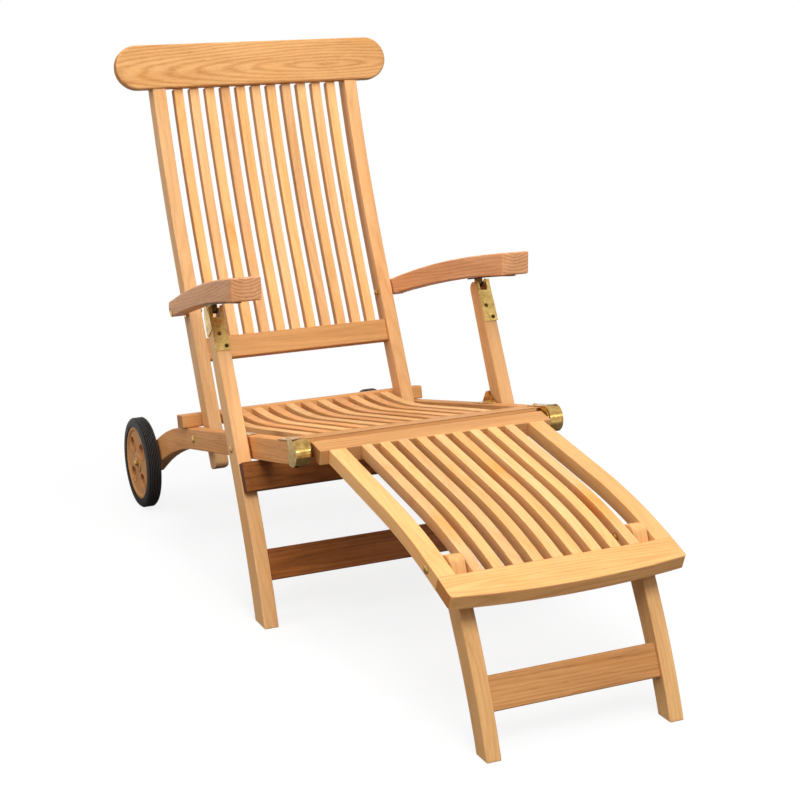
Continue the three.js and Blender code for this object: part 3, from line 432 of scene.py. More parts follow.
def grain_group():
    """Teak: growth rings, streaks, fibres, pores and amber clouds. Its vector is in metres, with Y along
    the grain. Figure is the strength of the rings, End that of the end grain, Bold that of all lines."""
    tree = bpy.data.node_groups.new("teak_grain", "ShaderNodeTree")
    for name, kind in (
        ("Vector", "Vector"), ("Normal", "Vector"), ("Light", "Color"), ("Dark", "Color"),
        ("Amber", "Color"), ("Figure", "Float"), ("End", "Float"), ("Bold", "Float"),
    ):
        tree.interface.new_socket(name=name, in_out="INPUT", socket_type="NodeSocket" + kind)
    for name, kind in (("Color", "Color"), ("Roughness", "Float"), ("Height", "Float")):
        tree.interface.new_socket(name=name, in_out="OUTPUT", socket_type="NodeSocket" + kind)
    n = Nodes(tree)
    inside = n.add("NodeGroupInput").outputs
    vector = inside["Vector"]
    waves = n.add(
        "ShaderNodeTexWave",
        {
            "Vector": n.stretched(vector, (1.0, 0.16, 1.0)),
            "Scale": 52.0,
            "Distortion": 6.0,
            "Detail": 3.0,
            "Detail Scale": 0.5,
            "Detail Roughness": 0.55,
        },
        wave_type="RINGS",
        rings_direction="Y",
        wave_profile="SIN",
    ).outputs["Fac"]
    rings = n.maths("POWER", waves, 2.2)
    facing = n.add("ShaderNodeVectorMath", {0: inside["Normal"], 1: (0, 1, 0)}, operation="DOT_PRODUCT")
    end_grain = n.spread(n.maths("ABSOLUTE", facing.outputs["Value"]), 0.75, 0.97)
    streaks = n.spread(n.noise(n.stretched(vector, (300, 5.5, 300)), detail=4, roughness=0.62), 0.32, 0.68)
    fibres = n.spread(n.noise(n.stretched(vector, (1300, 22, 1300)), detail=2), 0.32, 0.68)
    pores = n.spread(n.noise(n.stretched(vector, (820, 32, 820)), detail=1), 0.6, 0.7)
    broad = n.spread(n.noise(n.stretched(vector, (26, 2.6, 26)), detail=3, distortion=0.6), 0.3, 0.7)
    clouds = n.spread(n.noise(n.stretched(vector, (15, 5, 15)), detail=4, distortion=1.2), 0.54, 0.74)
    ring_share = n.maths("MULTIPLY", rings, inside["Figure"])
    ring_share = n.maths("MULTIPLY", ring_share, n.spread(end_grain, 0.0, 1.0, 0.36, 0.8))
    share = n.maths("ADD", n.maths("MULTIPLY", streaks, 0.26), ring_share)
    share = n.maths("ADD", share, n.maths("MULTIPLY", fibres, 0.18))
    share = n.maths("ADD", share, n.maths("MULTIPLY", pores, 0.24))
    share = n.maths("MULTIPLY", share, inside["Bold"])
    share = n.maths("ADD", share, n.maths("MULTIPLY", broad, 0.3))
    share = n.maths("ADD", share, n.maths("MULTIPLY", end_grain, inside["End"]))
    share = n.maths("MAXIMUM", n.maths("MINIMUM", share, 1.15), 0.0)
    colour = n.blend(share, inside["Light"], inside["Dark"])
    colour = n.blend(n.maths("MULTIPLY", clouds, 0.45), colour, inside["Amber"])
    rough = n.spread(share, 0.0, 1.0, 0.5, 0.66)
    height = n.maths("SUBTRACT", n.maths("MULTIPLY", fibres, 0.35), n.maths("MULTIPLY", pores, 0.6))
    height = n.maths("ADD", height, n.maths("MULTIPLY", streaks, 0.3))
    n.add("NodeGroupOutput", {"Color": colour, "Roughness": rough, "Height": height})
    return tree


GRAIN = grain_group()
# Teak colours: the light wood, and the dark of its lines
LIGHT_TEAK = ((247, 196, 138), (186, 122, 66))
HONEY_TEAK = ((246, 192, 128), (184, 120, 60))
WARM_TEAK = ((228, 168, 106), (152, 92, 44))
ROSY_TEAK = ((222, 166, 120), (160, 104, 66))
BROWN_TEAK = ((164, 100, 48), (80, 38, 12))
KNOT = linear(104, 56, 26)
KNOT_HALO = linear(196, 122, 62)
STAIN = linear(240, 144, 52)
chance = random.Random(442)


def marked(n, coordinates, colour, marks):
    """Knots and amber stains at their places on a board: marks are (place, size, kind). Each has a ragged
    edge and is longer along the board.
    A knot mark also serves as painted shade on a front leg's wood in the notch of its bracket."""
    for spot, size, kind in marks:
        away = n.add("ShaderNodeVectorMath", {0: coordinates, 1: spot}, operation="SUBTRACT").outputs[0]
        away = n.add("ShaderNodeVectorMath", {0: n.stretched(away, (1.0, 0.4, 0.55))}, operation="LENGTH")
        ragged = n.maths("MULTIPLY", n.noise(n.stretched(coordinates, (160, 60, 90)), detail=3), size)
        reach = n.maths("ADD", away.outputs["Value"], ragged)
        if kind == "knot":
            colour = n.blend(n.spread(reach, 1.1 * size, 3.4 * size, 0.75, 0.0), colour, KNOT_HALO)
            colour = n.blend(n.spread(reach, 0.8 * size, 1.5 * size, 0.9, 0.0), colour, KNOT)
        else:
            colour = n.blend(n.spread(reach, 0.5 * size, 1.7 * size, 0.95, 0.0), colour, STAIN)
    return colour


def teak(
    name, colours, centre, heading=0.0, across=False,
    figure=0.6, tone=0.0, end=0.4, bold=0.55, pith=None, tilt=None, marks=(),
):
    """Teak for one board: the grain runs along its heading in the side view, or across the chair. Each
    board has its own heart of the rings, drift of the grain, tone and warmth."""
    material = bpy.data.materials.new(name)
    material.use_nodes = True
    tree = material.node_tree
    tree.nodes.clear()
    n = Nodes(tree)
    turn = Matrix.Rotation(heading, 3, "X")
    if across:
        turn = turn @ Matrix.Rotation(-math.pi / 2, 3, "Z")
    drift = (chance.uniform(-1, 1) * 1.6 * DEGREE, 0, chance.uniform(-1, 1) * 1.2 * DEGREE)
    turn = turn @ Euler(tilt or drift).to_matrix()
    core = Vector((chance.uniform(-0.03, 0.03), chance.uniform(-0.4, 0.4), chance.uniform(0.02, 0.06)))
    spot = Vector(centre) + turn @ Vector(pith or core)
    coordinates = n.add("ShaderNodeTexCoord").outputs
    vector = n.add(
        "ShaderNodeMapping",
        {"Vector": coordinates["Object"], "Location": spot, "Rotation": turn.to_euler("XYZ")},
        vector_type="TEXTURE",
    ).outputs[0]
    normal = n.add(
        "ShaderNodeMapping",
        {"Vector": coordinates["Normal"], "Rotation": turn.to_euler("XYZ")},
        vector_type="TEXTURE",
    ).outputs[0]
    change = 1 + tone + chance.uniform(-0.045, 0.045)
    warmth = chance.uniform(-0.02, 0.025)
    tint = (change, change * (1 - warmth), change * (1 - 2 * warmth))
    light, dark = (linear(*(min(255, c * t) for c, t in zip(colour, tint))) for colour in colours)
    amber = linear(*(min(255, c * t * a) for c, t, a in zip(colours[0], tint, (0.95, 0.84, 0.64))))
    grain = n.add("ShaderNodeGroup", node_tree=GRAIN)
    tree.links.new(vector, grain.inputs["Vector"])
    tree.links.new(normal, grain.inputs["Normal"])
    for key, value in (
        ("Light", light), ("Dark", dark), ("Amber", amber),
        ("Figure", figure), ("End", end), ("Bold", bold),
    ):
        grain.inputs[key].default_value = value
    bump = n.add(
        "ShaderNodeBump", {"Height": grain.outputs["Height"], "Strength": 0.35, "Distance": 0.25 * MM}
    ).outputs[0]
    shader = n.add(
        "ShaderNodeBsdfPrincipled",
        {
            "Base Color": marked(n, coordinates["Object"], grain.outputs["Color"], marks),
            "Roughness": grain.outputs["Roughness"],
            "Specular IOR Level": 0.35,
            "Normal": bump,
        },
    )
    n.add("ShaderNodeOutputMaterial", {"Surface": shader.outputs[0]})
    return material


def metal(name, light, dark, roughness, scratch=0.05, dents=0.0):
    """Pressed or polished metal with faint tarnish, fine scratches and shallow waves from its forming."""
    material = bpy.data.materials.new(name)
    material.use_nodes = True
    tree = material.node_tree
    tree.nodes.clear()
    n = Nodes(tree)
    coordinates = n.add("ShaderNodeTexCoord").outputs["Object"]
    clouds = n.noise(n.stretched(coordinates, (90, 90, 90)), detail=5, distortion=0.8)
    tarnish = n.spread(clouds, 0.35, 0.72)
    lines = n.noise(n.stretched(coordinates, (2400, 260, 2400)), detail=2)
    waves = n.noise(n.stretched(coordinates, (38, 90, 90)), detail=1.5)
    colour = n.blend(tarnish, linear(*light), linear(*dark))
    dull = n.spread(tarnish, 0.0, 1.0, roughness, roughness + 0.16)
    rough = n.maths("ADD", dull, n.maths("MULTIPLY", lines, 0.05))
    form = n.add("ShaderNodeBump", {"Height": waves, "Strength": dents, "Distance": 4 * MM}).outputs[0]
    bump = n.add(
        "ShaderNodeBump", {"Height": lines, "Strength": scratch, "Distance": 0.1 * MM, "Normal": form}
    ).outputs[0]
    shader = n.add(
        "ShaderNodeBsdfPrincipled",
        {"Base Color": colour, "Roughness": rough, "Metallic": 1.0, "Normal": bump},
    )
    n.add("ShaderNodeOutputMaterial", {"Surface": shader.outputs[0]})
    return material


def rubber_material():
    """Black rubber with dust in its grain, and a painted highlight on the crests of the ribs of its tread.
    """
    material = bpy.data.materials.new("tyre_rubber")
    material.use_nodes = True
    tree = material.node_tree
    tree.nodes.clear()
    n = Nodes(tree)
    coordinates = n.add("ShaderNodeTexCoord").outputs["Object"]
    dust = n.spread(n.noise(n.stretched(coordinates, (60, 60, 60)), detail=6, roughness=0.65), 0.45, 0.8)
    grit = n.noise(n.stretched(coordinates, (1800, 1800, 1800)), detail=2)
    apart = n.add("ShaderNodeSeparateXYZ", {0: coordinates}).outputs
    across = n.maths("SUBTRACT", n.maths("ABSOLUTE", apart["X"]), WHEEL_INNER + SHOULDER)
    place_in_rib = n.maths("FRACT", n.maths("DIVIDE", across, RIB_PITCH))
    # Painted highlight: the crests of the tread's ribs are paler, standing in for the light they catch
    crest_highlight = n.maths("MULTIPLY", n.spread(n.maths("PINGPONG", place_in_rib, 0.5), 0.3, 0.45), 0.3)
    away = n.add("ShaderNodeVectorMath", {0: coordinates, 1: (0, *AXLE)}, operation="SUBTRACT").outputs[0]
    away = n.add("ShaderNodeVectorMath", {0: n.stretched(away, (0, 1, 1))}, operation="LENGTH")
    crest_highlight = n.maths("MULTIPLY", crest_highlight, n.spread(away.outputs["Value"], 94 * MM, 97 * MM))
    colour = n.blend(dust, linear(16, 14, 13), linear(44, 40, 38))
    colour = n.blend(crest_highlight, colour, linear(138, 128, 120))
    rough = n.spread(dust, 0.0, 1.0, 0.5, 0.78)
    bump = n.add("ShaderNodeBump", {"Height": grit, "Strength": 0.25, "Distance": 0.15 * MM}).outputs[0]
    shader = n.add(
        "ShaderNodeBsdfPrincipled",
        {"Base Color": colour, "Roughness": rough, "Specular IOR Level": 0.4, "Normal": bump},
    )
    n.add("ShaderNodeOutputMaterial", {"Surface": shader.outputs[0]})
    return material


BRASS = metal("polished_brass", (236, 196, 118), (176, 132, 64), 0.12, dents=0.03)
PLATE_BRASS = metal("bracket_brass", (236, 200, 122), (184, 146, 76), 0.22, dents=0.12)
# Brass painted dark as painted shade: the arm catch stands in shadow under the arm, and the bracket screws
# are darkened like the shade round them
PAINTED_SHADE_BRASS = metal("painted_shade_brass", (112, 84, 46), (50, 34, 18), 0.34)
STEEL = metal("axle_steel", (196, 196, 194), (150, 148, 144), 0.28)
RUBBER = rubber_material()


# Wooden boards

def centre_of(piece):
    """The middle of a piece's own box."""
    corners = [Vector(corner) for corner in piece.bound_box]
    return sum(corners, Vector()) / len(corners)


def wooden(
    node, colours, slot, heading, width, across=False, plain=BORES, joints=(), reshape=None, **finish
):
    """A board of the chair: a copy of its solid with eased edges, in teak that follows the board."""
    piece = copy_node(node, node + "_board")
    if reshape:
        reshape(piece)
    ease_edges(piece, width, plain=plain, joints=joints)
    material = teak("teak_" + node, colours, centre_of(piece), heading, across, **finish)
    return settle(piece, material, [node])


REBATE_RADIUS = 24.5 * MM
REBATE_FROM = 231 * MM
REBATE_TO = 234.9 * MM
FOOT_FROM = -50 * MM
FOOT_RISE = 6.5 * MM
HEAD_CORE = 12 * MM


def rebate_nose(piece):
    """The rail's nose is let in on its inner face for the flange of the hinge pin."""
    inside = -1 if centre_of(piece)[0] < 0 else 1
    profile = [(inside * REBATE_FROM, REBATE_RADIUS), (inside * REBATE_TO, REBATE_RADIUS)]
    cut_out(piece, turned("rebate", profile, HINGE, 48))


def shorten_foot(piece):
    """The stile's foot ends a little higher under the seat rail."""
    up = Vector((0, math.cos(LEAN), math.sin(LEAN)))
    pivot = Vector((0, *BACK_PIVOT))
    shift(piece, lambda corner: (corner - pivot).dot(up) < FOOT_FROM, FOOT_RISE * up)


def square_head(piece):
    """The head of a rest leg is a block with rounded corners."""
    up = Vector((math.cos(REST_HEAD_HEADING), math.sin(REST_HEAD_HEADING)))
    mesh = edit(piece)
    for corner in mesh.verts:
        arm = corner.co.yz - REST_BOLT
        rise = arm.dot(up)
        if rise > 0 and arm.length > HEAD_CORE:
            cosine = rise / arm.length
            sine = math.sqrt(max(0.0, 1 - cosine * cosine))
            grown = arm * (cosine**4 + sine**4) ** -0.25
            corner.co.y, corner.co.z = REST_BOLT + grown
    bmesh.update_edit_mesh(piece.data)
    close_edit()


SIDES = ("left", "right")

# Where the headboard is let into the stiles, their edges stay square
HEADBOARD_AT = Vector((0.634544, 0.953128))
HEADBOARD_ROOM = [
    (side_point(HEADBOARD_AT, HEADBOARD_HEADING, run * MM, -12 * MM), 22 * MM)
    for run in (-44, -30, -15, 0, 15, 30, 44)
]
# So do the edges round the head of a front leg, under its bracket
BRACKET_ROOM = [(CATCH_PIN, 34 * MM)]

# The planes in which the boards of the leg rest meet
CROSSBAR_START = -9 * MM
REST_END = Vector((-0.668664, 0.258031))
end_direction = Vector((math.cos(REST_END_HEADING), math.sin(REST_END_HEADING)))
END_JOINT = [(REST_END, end_direction), (REST_END + 0.3 * MM * end_direction, end_direction)]
rest_direction = Vector((math.cos(REST_HEADING), math.sin(REST_HEADING)))
CROSSBAR_JOINT = [
    (side_point(HINGE, REST_HEADING + math.pi, 51.8 * MM + CROSSBAR_START), rest_direction)
]

for side in SIDES:
    wooden(
        "seat_rail_" + side, WARM_TEAK, "warm_teak", RAIL_HEADING, 2 * MM,
        bold=0.8, reshape=rebate_nose, tone=0.04,
    )
    wooden(
        "back_stile_" + side, LIGHT_TEAK, "light_teak", LEAN + 4 * DEGREE, 2 * MM,
        plain=BORES + HEADBOARD_ROOM, reshape=shorten_foot,
    )
    wooden(
        "arm_" + side, ROSY_TEAK, "light_teak", ARM_HEADING, 3.4 * MM,
        figure=0.75, end=-0.12, bold=0.8, tone=0.07,
    )
    # The knot mark at the catch pin is painted shade: it darkens the leg's wood inside the bracket's notch
    notch_shade_x = LEG_MIDDLE * (1 if side == "left" else -1)
    wooden(
        "front_leg_" + side, LIGHT_TEAK, "light_teak", LEAN, 2 * MM,
        plain=BORES + BRACKET_ROOM,
        tone=0.02 if side == "right" else -0.05, marks=[((notch_shade_x, *CATCH_PIN), 5 * MM, "knot")],
    )
    wooden(
        "leg_rest_rail_" + side, HONEY_TEAK, "warm_teak", REST_HEADING + 4 * DEGREE, 1.6 * MM,
        joints=END_JOINT + CROSSBAR_JOINT,
    )
    wooden(
        "rest_leg_" + side, HONEY_TEAK, "light_teak", REST_LEG_HEADING, 2 * MM,
        reshape=square_head, end=0.05,
    )

wooden("seat_front_rail", WARM_TEAK, "light_teak", RAIL_HEADING, 1.6 * MM, across=True, tone=-0.09)
wooden(
    "seat_rear_rail", WARM_TEAK, "light_teak", RAIL_HEADING, 2 * MM, across=True,
    reshape=lambda piece: shift_ends(piece, REAR_RAIL_END, 4.5 * MM),
)
wooden(
    "headboard", HONEY_TEAK, "light_teak", HEADBOARD_HEADING, 4 * MM, across=True,
    figure=1.2, bold=0.75, tone=-0.02, pith=(0.012, 0.24, -0.004), tilt=(5.5 * DEGREE, 0, 0.8 * DEGREE),
)
wooden("leg_apron", BROWN_TEAK, "warm_teak", LEAN, 1.6 * MM, across=True, bold=1.0)
wooden("leg_stretcher", BROWN_TEAK, "warm_teak", LEAN, 1.6 * MM, across=True, tone=0.05, bold=1.0)
wooden(
    "leg_rest_end_board", HONEY_TEAK, "light_teak", REST_END_HEADING, 1.8 * MM, across=True,
    joints=END_JOINT, figure=1.1, end=0.75, tone=-0.02,
    pith=(0.006, 0.1, 0.012), tilt=(3.5 * DEGREE, 0, -1.0 * DEGREE),
)
wooden("rest_leg_stretcher", WARM_TEAK, "warm_teak", REST_LEG_HEADING, 1.6 * MM, across=True, bold=0.9)

for i in range(1, 12):
    colours, slot = (WARM_TEAK, "warm_teak") if i % 2 == 0 else (HONEY_TEAK, "light_teak")
    wooden("seat_slat_%d" % i, colours, slot, RAIL_HEADING, 1.4 * MM, tone=0.05 if i % 2 == 0 else 0)

# Plugs over the screws that hold the apron to the legs
FORWARD_OF_LEG = (0, math.cos(LEAN + math.pi / 2), math.sin(LEAN + math.pi / 2))
PLUG = [(-2 * MM, 5.2 * MM), (0.7 * MM, 5.2 * MM), (1.0 * MM, 4.7 * MM)]
PLUG_X = 276.9
PLUG_SPOTS = ((-33.1, 274.9), (-44.2, 251.9))
plugs = join_pieces("leg_apron_plugs", [
    drawn("plug", (x * MM, y * MM, z * MM), FORWARD_OF_LEG, PLUG)
    for x in (-PLUG_X, PLUG_X) for y, z in PLUG_SPOTS
])
smooth(plugs, 30)
plug_teak = teak("teak_plugs", BROWN_TEAK, centre_of(plugs), LEAN, tone=-0.12)
settle(plugs, plug_teak, ["leg_apron"])


# How far the cut face of a rail is drawn over its slats, and where the cuts are
RAIL_OVER_SLATS = 2.7 * MM
BACK_JOINT_RUN = 200 * MM
REST_JOINT_RUN = 48.5 * MM

# Slats of the back and of the leg rest: count, pitch and width
BACK_SLATS = (11, 34.2 * MM, 19.5 * MM)
REST_SLATS = (9, 34.8 * MM, 19 * MM)


def slatted_frame(
    node, colours, slat_colours, slot, heading, joint_at, slat_count, pitch, slat_width, rail_first,
    inset=0.0, marks=None,
):
    """A cross rail with its slats: the solid is parted into its boards, and each is eased on its own.
    The rail comes first along the heading, or last. An inset shortens it at each end."""
    direction = Vector((0, math.cos(heading), math.sin(heading)))
    joint = Vector((0, joint_at[0], joint_at[1]))
    away = direction if rail_first else -direction
    rail = copy_node(node, node + "_rail")
    cut_away(rail, joint, away)
    mesh = edit(rail)
    for face in mesh.faces:
        depth = (face.calc_center_median() - joint).dot(away)
        face.select = abs(face.normal.dot(away)) > 0.999 and abs(depth) < MM / 10
    bmesh.update_edit_mesh(rail.data)
    bpy.ops.transform.translate(value=away * RAIL_OVER_SLATS)
    close_edit()
    if inset:
        shift_ends(rail, CROSSBAR_END, -inset)
    ease_edges(rail, 1.8 * MM)
    boards = [rail]
    materials = [teak("teak_" + node + "_rail", colours, centre_of(rail), heading, True, tone=-0.06)]
    for i in range(slat_count):
        middle = (i - (slat_count - 1) / 2) * pitch
        slat = copy_node(node, "%s_slat_%d" % (node, i + 1))
        cut_away(slat, joint, -away)
        half = slat_width / 2 + 2 * MM
        cut_away(slat, (middle + half, 0, 0), (1, 0, 0))
        cut_away(slat, (middle - half, 0, 0), (-1, 0, 0))
        ease_edges(slat, 1.3 * MM, joints=END_JOINT)
        materials.append(teak(
            "teak_%s_%d" % (node, i + 1), slat_colours[i % 2], centre_of(slat), heading + 4 * DEGREE,
            marks=(marks or {}).get(i, ()),
        ))
        boards.append(slat)
    for board, material in zip(boards, materials):
        board.data.materials.clear()
        board.data.materials.append(material)
    return settle(join_pieces(node + "_boards", boards), None, [node])


slatted_frame(
    "back_slat_frame", WARM_TEAK, (HONEY_TEAK, LIGHT_TEAK), "warm_teak", LEAN,
    side_point(BACK_PIVOT, LEAN, BACK_JOINT_RUN), *BACK_SLATS, True,
    marks={
        7: [((0.0654, 0.5347, 0.7157), 3.2 * MM, "knot")],
        2: [((-0.098, 0.50, 0.62), 20 * MM, "stain")],
    },
)
rest_start = side_point(HINGE, REST_HEADING + math.pi, CROSSBAR_START, -4.6 * MM)
slatted_frame(
    "leg_rest_slat_frame", WARM_TEAK, (LIGHT_TEAK, HONEY_TEAK), "light_teak", REST_HEADING,
    side_point(rest_start, REST_HEADING + math.pi, REST_JOINT_RUN), *REST_SLATS, False,
    inset=2.4 * MM,
    marks={
        0: [((-0.1287, -0.5475, 0.2932), 22 * MM, "stain"), ((-0.144, -0.452, 0.317), 2.6 * MM, "knot")],
        8: [((0.139, -0.549, 0.2928), 26 * MM, "stain")],
        5: [((0.04, -0.40, 0.325), 18 * MM, "stain")],
    },
)


# Brass

def bolt_parts(name, centre, head_face, nut_face, washer_from, washer_to):
    """A bolt across the boards: a domed head, a washer where they turn on each other, and a cap nut."""
    gap = 0.3 * MM
    head = head_face + gap
    nut = nut_face - gap
    shank = [(nut - 1 * MM, 4 * MM), (washer_from + gap, 4 * MM), (washer_from + gap, 11 * MM),
             (washer_to - gap, 11 * MM), (washer_to - gap, 4 * MM), (head + 1 * MM, 4 * MM)]
    dome = [(head, 7.5 * MM), (head + 0.6 * MM, 7.5 * MM), (head + 1.5 * MM, 6.6 * MM),
            (head + 2.2 * MM, 5.0 * MM), (head + 2.7 * MM, 3.0 * MM), (head + 2.9 * MM, 1.0 * MM)]
    cap = [(nut, 6.5 * MM), (nut - 0.4 * MM, 7.4 * MM), (nut - 3.0 * MM, 7.4 * MM),
           (nut - 3.3 * MM, 6.6 * MM)]
    crown = [(nut - 3 * MM, 5.6 * MM), (nut - 4.6 * MM, 5.2 * MM), (nut - 5.9 * MM, 4.0 * MM),
             (nut - 6.7 * MM, 2.2 * MM), (nut - 7.0 * MM, 0.6 * MM)]
    return [
        turned(name, shank, centre, 24),
        turned(name + "_dome", dome, centre, 32),
        turned(name + "_cap", cap, centre, 6),
        turned(name + "_crown", crown, centre, 24),
    ]


def bolt_pair(node, centre, *faces):
    """The bolt on both sides of the chair."""
    piece = join_pieces(node + "_left_brass", bolt_parts(node, centre, *faces))
    smooth(piece, 30)
    other = mirror_copy(piece, node + "_right_brass")
    smooth(other, 30)
    settle(piece, BRASS, [node + "_left"])
    settle(other, BRASS, [node + "_right"])


bolt_pair("back_pivot_bolt", BACK_PIVOT, RAIL_OUTER, STILE_INNER, STILE_OUTER, RAIL_INNER)
bolt_pair("leg_pivot_bolt", LEG_PIVOT, LEG_OUTER, RAIL_INNER, RAIL_OUTER, LEG_INNER)
bolt_pair("arm_pivot_bolt", ARM_PIVOT, ARM_OUTER_AT_PIVOT, STILE_INNER, STILE_OUTER, ARM_INNER)
bolt_pair("rest_leg_bolt", REST_BOLT, REST_RAIL_OUTER, OUTER_SLAT_INNER, REST_LEG_OUTER, REST_RAIL_INNER)

DOME_SCREW = [(-1.0 * MM, 4.0 * MM), (0.5 * MM, 4.0 * MM), (1.2 * MM, 3.6 * MM), (1.9 * MM, 2.6 * MM),
              (2.3 * MM, 1.0 * MM)]
SUNK_SCREW = [(-1.0 * MM, 3.8 * MM), (0.6 * MM, 3.8 * MM), (0.9 * MM, 3.3 * MM), (0.3 * MM, 2.5 * MM),
              (0.3 * MM, 2.2 * MM), (0.8 * MM, 1.8 * MM), (0.8 * MM, 0.6 * MM)]
CAP_SCREW = [(-1.0 * MM, 4.6 * MM), (0.4 * MM, 4.6 * MM), (1.6 * MM, 4.0 * MM), (2.4 * MM, 2.8 * MM),
             (2.8 * MM, 1.0 * MM)]
CAP_SCREW_SPOT = (50 * MM, 23.6 * MM)
CAP_SCREW_X = 246 * MM
CAP_INSET = 3 * MM


def plate_screws(name, middle_x):
    """The two screws of a leg bracket, on the plate down the front of the leg."""
    screws = []
    for below_pin, lift, x, profile in ((49.7, 19.1, -3.0, DOME_SCREW), (74.0, 19.9, 6.5, SUNK_SCREW)):
        y, z = side_point(CATCH_PIN, LEAN, -below_pin * MM, lift * MM)
        screws.append(drawn(name, (middle_x + x * MM, y, z), FORWARD_OF_LEG, profile))
    return screws


for side, sign in zip(SIDES, (1, -1)):
    for node, width, finish in (
        ("hinge_cap_", 0.5, BRASS), ("leg_stop_", 0.5, BRASS), ("leg_bracket_", 0.4, PLATE_BRASS),
        # The arm catch takes the darkened brass as painted shade beneath the arm
        ("arm_catch_", 0.5, PAINTED_SHADE_BRASS),
    ):
        piece = copy_node(node + side, node + side + "_brass")
        if node == "hinge_cap_":
            outwards = (sign * CAP_INSET, 0, 0)
            shift(piece, lambda corner: abs(corner.x) < RAIL_INNER + 0.2 * MM, outwards)
        ease_edges(piece, width * MM, segments=2, plain=[], fine=True)
        if node == "hinge_cap_":
            y, z = side_point(HINGE, RAIL_HEADING, *CAP_SCREW_SPOT)
            up = (0, math.cos(RAIL_HEADING + math.pi / 2), math.sin(RAIL_HEADING + math.pi / 2))
            screw = drawn("cap_screw", (sign * CAP_SCREW_X, y, z), up, CAP_SCREW)
            smooth(screw, 30)
            piece = join_pieces(piece.name, [piece, screw])
        if node == "leg_bracket_":
            screws = plate_screws("leg_bracket_screw_" + side, sign * LEG_MIDDLE)
            screws = join_pieces("leg_bracket_screws_" + side, screws)
            smooth(screws, 30)
            # The screws take the darkened brass as painted shade
            settle(screws, PAINTED_SHADE_BRASS, [node + side])
        settle(piece, finish, [node + side])


def hinge_pin():
    """The pin of the leg rest hinge, with a domed flange between the seat rail and the crossbar."""
    flange = [
        (225.4, 9), (225.9, 12.8), (227.0, 14.8), (228.6, 15.6), (230.0, 15.6), (231.0, 14.8),
        (231.6, 13.4), (232.4, 13.4), (232.7, 21.2), (234.8, 21.4),
    ]
    profile = [(188.3, 4.9), (225.4, 4.9), *flange, (234.8, 4.9), (259.4, 4.9)]
    return turned("hinge_pin_left_brass", [(x * MM, radius * MM) for x, radius in profile], HINGE, 48)


left_pin = hinge_pin()
smooth(left_pin, 35)
right_pin = mirror_copy(left_pin, "hinge_pin_right_brass")
smooth(right_pin, 35)
settle(left_pin, BRASS, ["hinge_pin_left"])
settle(right_pin, BRASS, ["hinge_pin_right"])


# Wheels

def tyre():
    """A rubber tyre with fine ribs round its tread and rounded shoulders."""
    profile = [(WHEEL_INNER, 79.8 * MM), (WHEEL_INNER, 91.5 * MM), (WHEEL_INNER + 0.8 * MM, 94.3 * MM),
               (WHEEL_INNER + 2.4 * MM, 96.4 * MM)]
    for i in range(RIBS):
        start = WHEEL_INNER + SHOULDER + i * RIB_PITCH
        profile += [
            (start + 0.10 * RIB_PITCH, 95.8 * MM),
            (start + 0.20 * RIB_PITCH, 97.9 * MM),
            (start + 0.34 * RIB_PITCH, WHEEL_RADIUS),
            (start + 0.66 * RIB_PITCH, WHEEL_RADIUS),
            (start + 0.80 * RIB_PITCH, 97.9 * MM),
            (start + 0.90 * RIB_PITCH, 95.8 * MM),
        ]
    profile += [(WHEEL_OUTER - 2.4 * MM, 96.4 * MM), (WHEEL_OUTER - 0.8 * MM, 94.3 * MM),
                (WHEEL_OUTER, 91.5 * MM), (WHEEL_OUTER, 79.8 * MM)]
    return turned("tyre_left_rubber", profile, AXLE, 96, bored=True)


def wheel_disc():
    """A turned wooden disc: a raised rim and hub, and four deep round pockets in its sunk face."""
    inner, outer = WHEEL_INNER, WHEEL_OUTER
    profile = [
        (inner, 6.3 * MM), (inner, 20 * MM), (inner + 1 * MM, 21 * MM), (inner + 5 * MM, 21 * MM),
        (inner + 5 * MM, 70 * MM), (inner + 2.5 * MM, 71 * MM), (inner + 2.5 * MM, 79.3 * MM),
        (outer - 2.5 * MM, 79.3 * MM), (outer - 2.0 * MM, 78 * MM), (outer - 2.0 * MM, 73 * MM),
        (outer - 3.0 * MM, 71.6 * MM), (outer - 5 * MM, 70.2 * MM),
        (outer - 5 * MM, 21.5 * MM), (outer - 3.2 * MM, 21 * MM), (outer - 2.5 * MM, 20 * MM),
        (outer - 2.5 * MM, 6.3 * MM),
    ]
    disc = turned("wheel_disc_left_board", profile, AXLE, 96, bored=True)
    face = outer - 5 * MM
    lips = []
    for i in range(4):
        centre = side_point(AXLE, (45 + 90 * i) * DEGREE, 47 * MM)
        pocket = turned("pocket", [(face - 9 * MM, 13 * MM), (face - 8 * MM, 14.6 * MM), (face, 16.5 * MM),
                                   (face + 1 * MM, 16.8 * MM)], centre, 40)
        cut_out(disc, pocket)
        lips.append(turned("lip", [(face - 0.4 * MM, 16.4 * MM), (face + 0.9 * MM, 16.9 * MM),
                                   (face + 1.3 * MM, 17.6 * MM), (face + 0.9 * MM, 18.6 * MM),
                                   (face - 0.4 * MM, 19.2 * MM)], centre, 40, bored=True))
    return join_pieces(disc.name, [disc, *lips])


left_tyre = tyre()
smooth(left_tyre, 50)
right_tyre = mirror_copy(left_tyre, "tyre_right_rubber")
smooth(right_tyre, 50)
settle(left_tyre, RUBBER, ["tyre_left"])
settle(right_tyre, RUBBER, ["tyre_right"])

left_disc = wheel_disc()
smooth(left_disc, 30)
right_disc = mirror_copy(left_disc, "wheel_disc_right_board")
smooth(right_disc, 30)
for side, disc in zip(SIDES, (left_disc, right_disc)):
    grain = teak("teak_wheel_disc_" + side, WARM_TEAK, centre_of(disc), 0.5)
    settle(disc, grain, ["wheel_disc_" + side])


def mirrored_join(name, pieces):
    """Left and right bodies as one piece."""
    others = [mirror_copy(piece, piece.name + "_right") for piece in pieces]
    return join_pieces(name, pieces + others)


